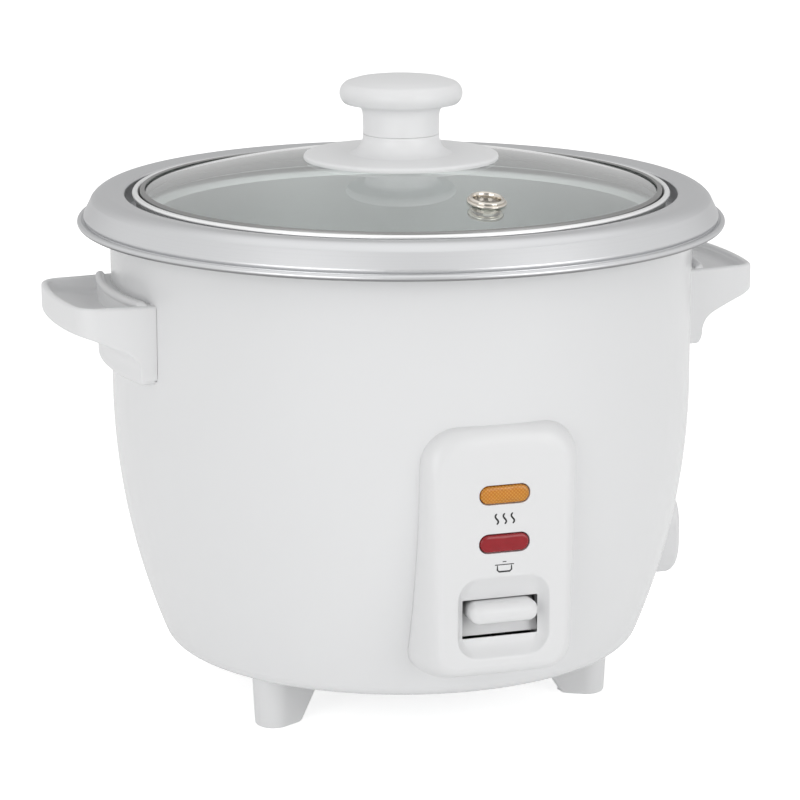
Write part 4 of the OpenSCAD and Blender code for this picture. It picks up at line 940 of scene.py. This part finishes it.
plated = Finish("zinc_plate", base_color=(0.55, 0.56, 0.57), metallic=1.0, roughness=0.4)
plated.drive(roughness=plated.noise(120, 4) * 0.25 + 0.28,
             base_color=plated.mix(plated.noise(40, 4), (0.50, 0.51, 0.53), (0.62, 0.62, 0.61)))
dress(plated, "heat_shield", "base_cover", "switch_bracket", "pivot_bracket", "sensor_sleeve", "fuse_clip")

machine_steel = Finish("machine_steel", base_color=(0.5, 0.51, 0.52), metallic=1.0, roughness=0.32)
machine_steel.drive(roughness=machine_steel.noise(300, 3) * 0.2 + 0.24)
dress(machine_steel, "foot_screws", "handle_screws", "panel_screws", "inlet_screws", "plate_screws",
      "knob_screw", "lever_pin", "lever_arm", "magnet_rod")



def coil(name, body, wire, turns):
    """A compression spring in place of its solid."""
    low, high = (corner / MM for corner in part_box(name))
    r, around = (high.x - low.x) / 2 - wire, 24
    steps, loops = turns * around, []
    for k in range(steps + 1):
        turn = Matrix.Rotation(2 * math.pi * k / around, 3, "Z")
        z = low.z + wire + (high.z - low.z - 2 * wire) * k / steps
        loops.append([turn @ Vector((r + wire * math.cos(a), 0, z + wire * math.sin(a)))
                      for a in (2 * math.pi * j / 10 for j in range(10))])
    form = bmesh.new()
    rows = loft(form, loops)
    fill(form, [rows[0]])
    fill(form, [rows[-1]])
    made = piece(name + "_wire", form, machine_steel, body, name, 60)
    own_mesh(made)


coil("release_spring", "sensor", 0.4, 8)
coil("sensor_spring", "cooker", 0.5, 5)

plate_metal = Finish("cast_aluminium", base_color=(0.6, 0.61, 0.62), metallic=1.0, roughness=0.4)
round_grain(plate_metal, 900, 0.00001, 0.4, 0.16)
dress(plate_metal, "heating_plate", "sensor_cap")

sheath = Finish("element_sheath", base_color=(0.16, 0.14, 0.13), metallic=1.0, roughness=0.5)
sheath.drive(base_color=sheath.mix(sheath.noise(60, 4), (0.12, 0.11, 0.10), (0.26, 0.21, 0.17)))
dress(sheath, "heater_element")

ferrite = Finish("ferrite", base_color=(0.03, 0.03, 0.032), roughness=0.5)
ferrite.drive(roughness=ferrite.noise(800, 3) * 0.3 + 0.35)
dress(ferrite, "ferrite_ring", "magnet_ring")

ceramic = Finish("ceramic_case", base_color=(0.68, 0.62, 0.5), roughness=0.6)
ceramic.drive(base_color=ceramic.mix(ceramic.noise(200, 3), (0.62, 0.56, 0.45), (0.74, 0.69, 0.58)))
dress(ceramic, "warm_thermostat", "thermal_fuse")

black = Finish("black_moulding", base_color=(0.02, 0.02, 0.022), roughness=0.45)
black.drive(roughness=black.noise(500, 2) * 0.15 + 0.38)
dress(black, "switch_body")
plunger_red = Finish("plunger_red", base_color=(0.5, 0.03, 0.03), roughness=0.4)
plunger_red.drive(roughness=plunger_red.noise(500, 2) * 0.15 + 0.33)
dress(plunger_red, "switch_plunger")
brass = Finish("brass_pins", base_color=(0.78, 0.6, 0.28), metallic=1.0, roughness=0.25)
brass.drive(roughness=brass.noise(400, 3) * 0.15 + 0.18)
dress(brass, "inlet_pins")
bulb = Finish("bulb_glass", base_color=(0.85, 0.75, 0.62), roughness=0.1)
bulb.drive(base_color=bulb.mix(bulb.noise(500, 2), (0.8, 0.7, 0.56), (0.9, 0.82, 0.7)))
dress(bulb, "warm_lamp", "cook_lamp")
silicone = Finish("silicone", base_color=(0.75, 0.76, 0.74), roughness=0.4, subsurface_weight=0.1)
silicone.drive(roughness=silicone.noise(300, 2) * 0.15 + 0.33)
dress(silicone, "knob_washer")
for name, dark, light in (("wire_live", (0.12, 0.045, 0.02), (0.18, 0.07, 0.035)),
                          ("wire_neutral", (0.02, 0.08, 0.3), (0.035, 0.12, 0.4)),
                          ("wire_switch", (0.45, 0.45, 0.43), (0.6, 0.6, 0.57)),
                          ("wire_lamps", (0.5, 0.48, 0.42), (0.66, 0.63, 0.55))):
    sleeve = Finish(name + "_sleeve", base_color=light, roughness=0.45)
    sleeve.drive(base_color=sleeve.mix(sleeve.noise(900, 3), dark, light))
    dress(sleeve, name)
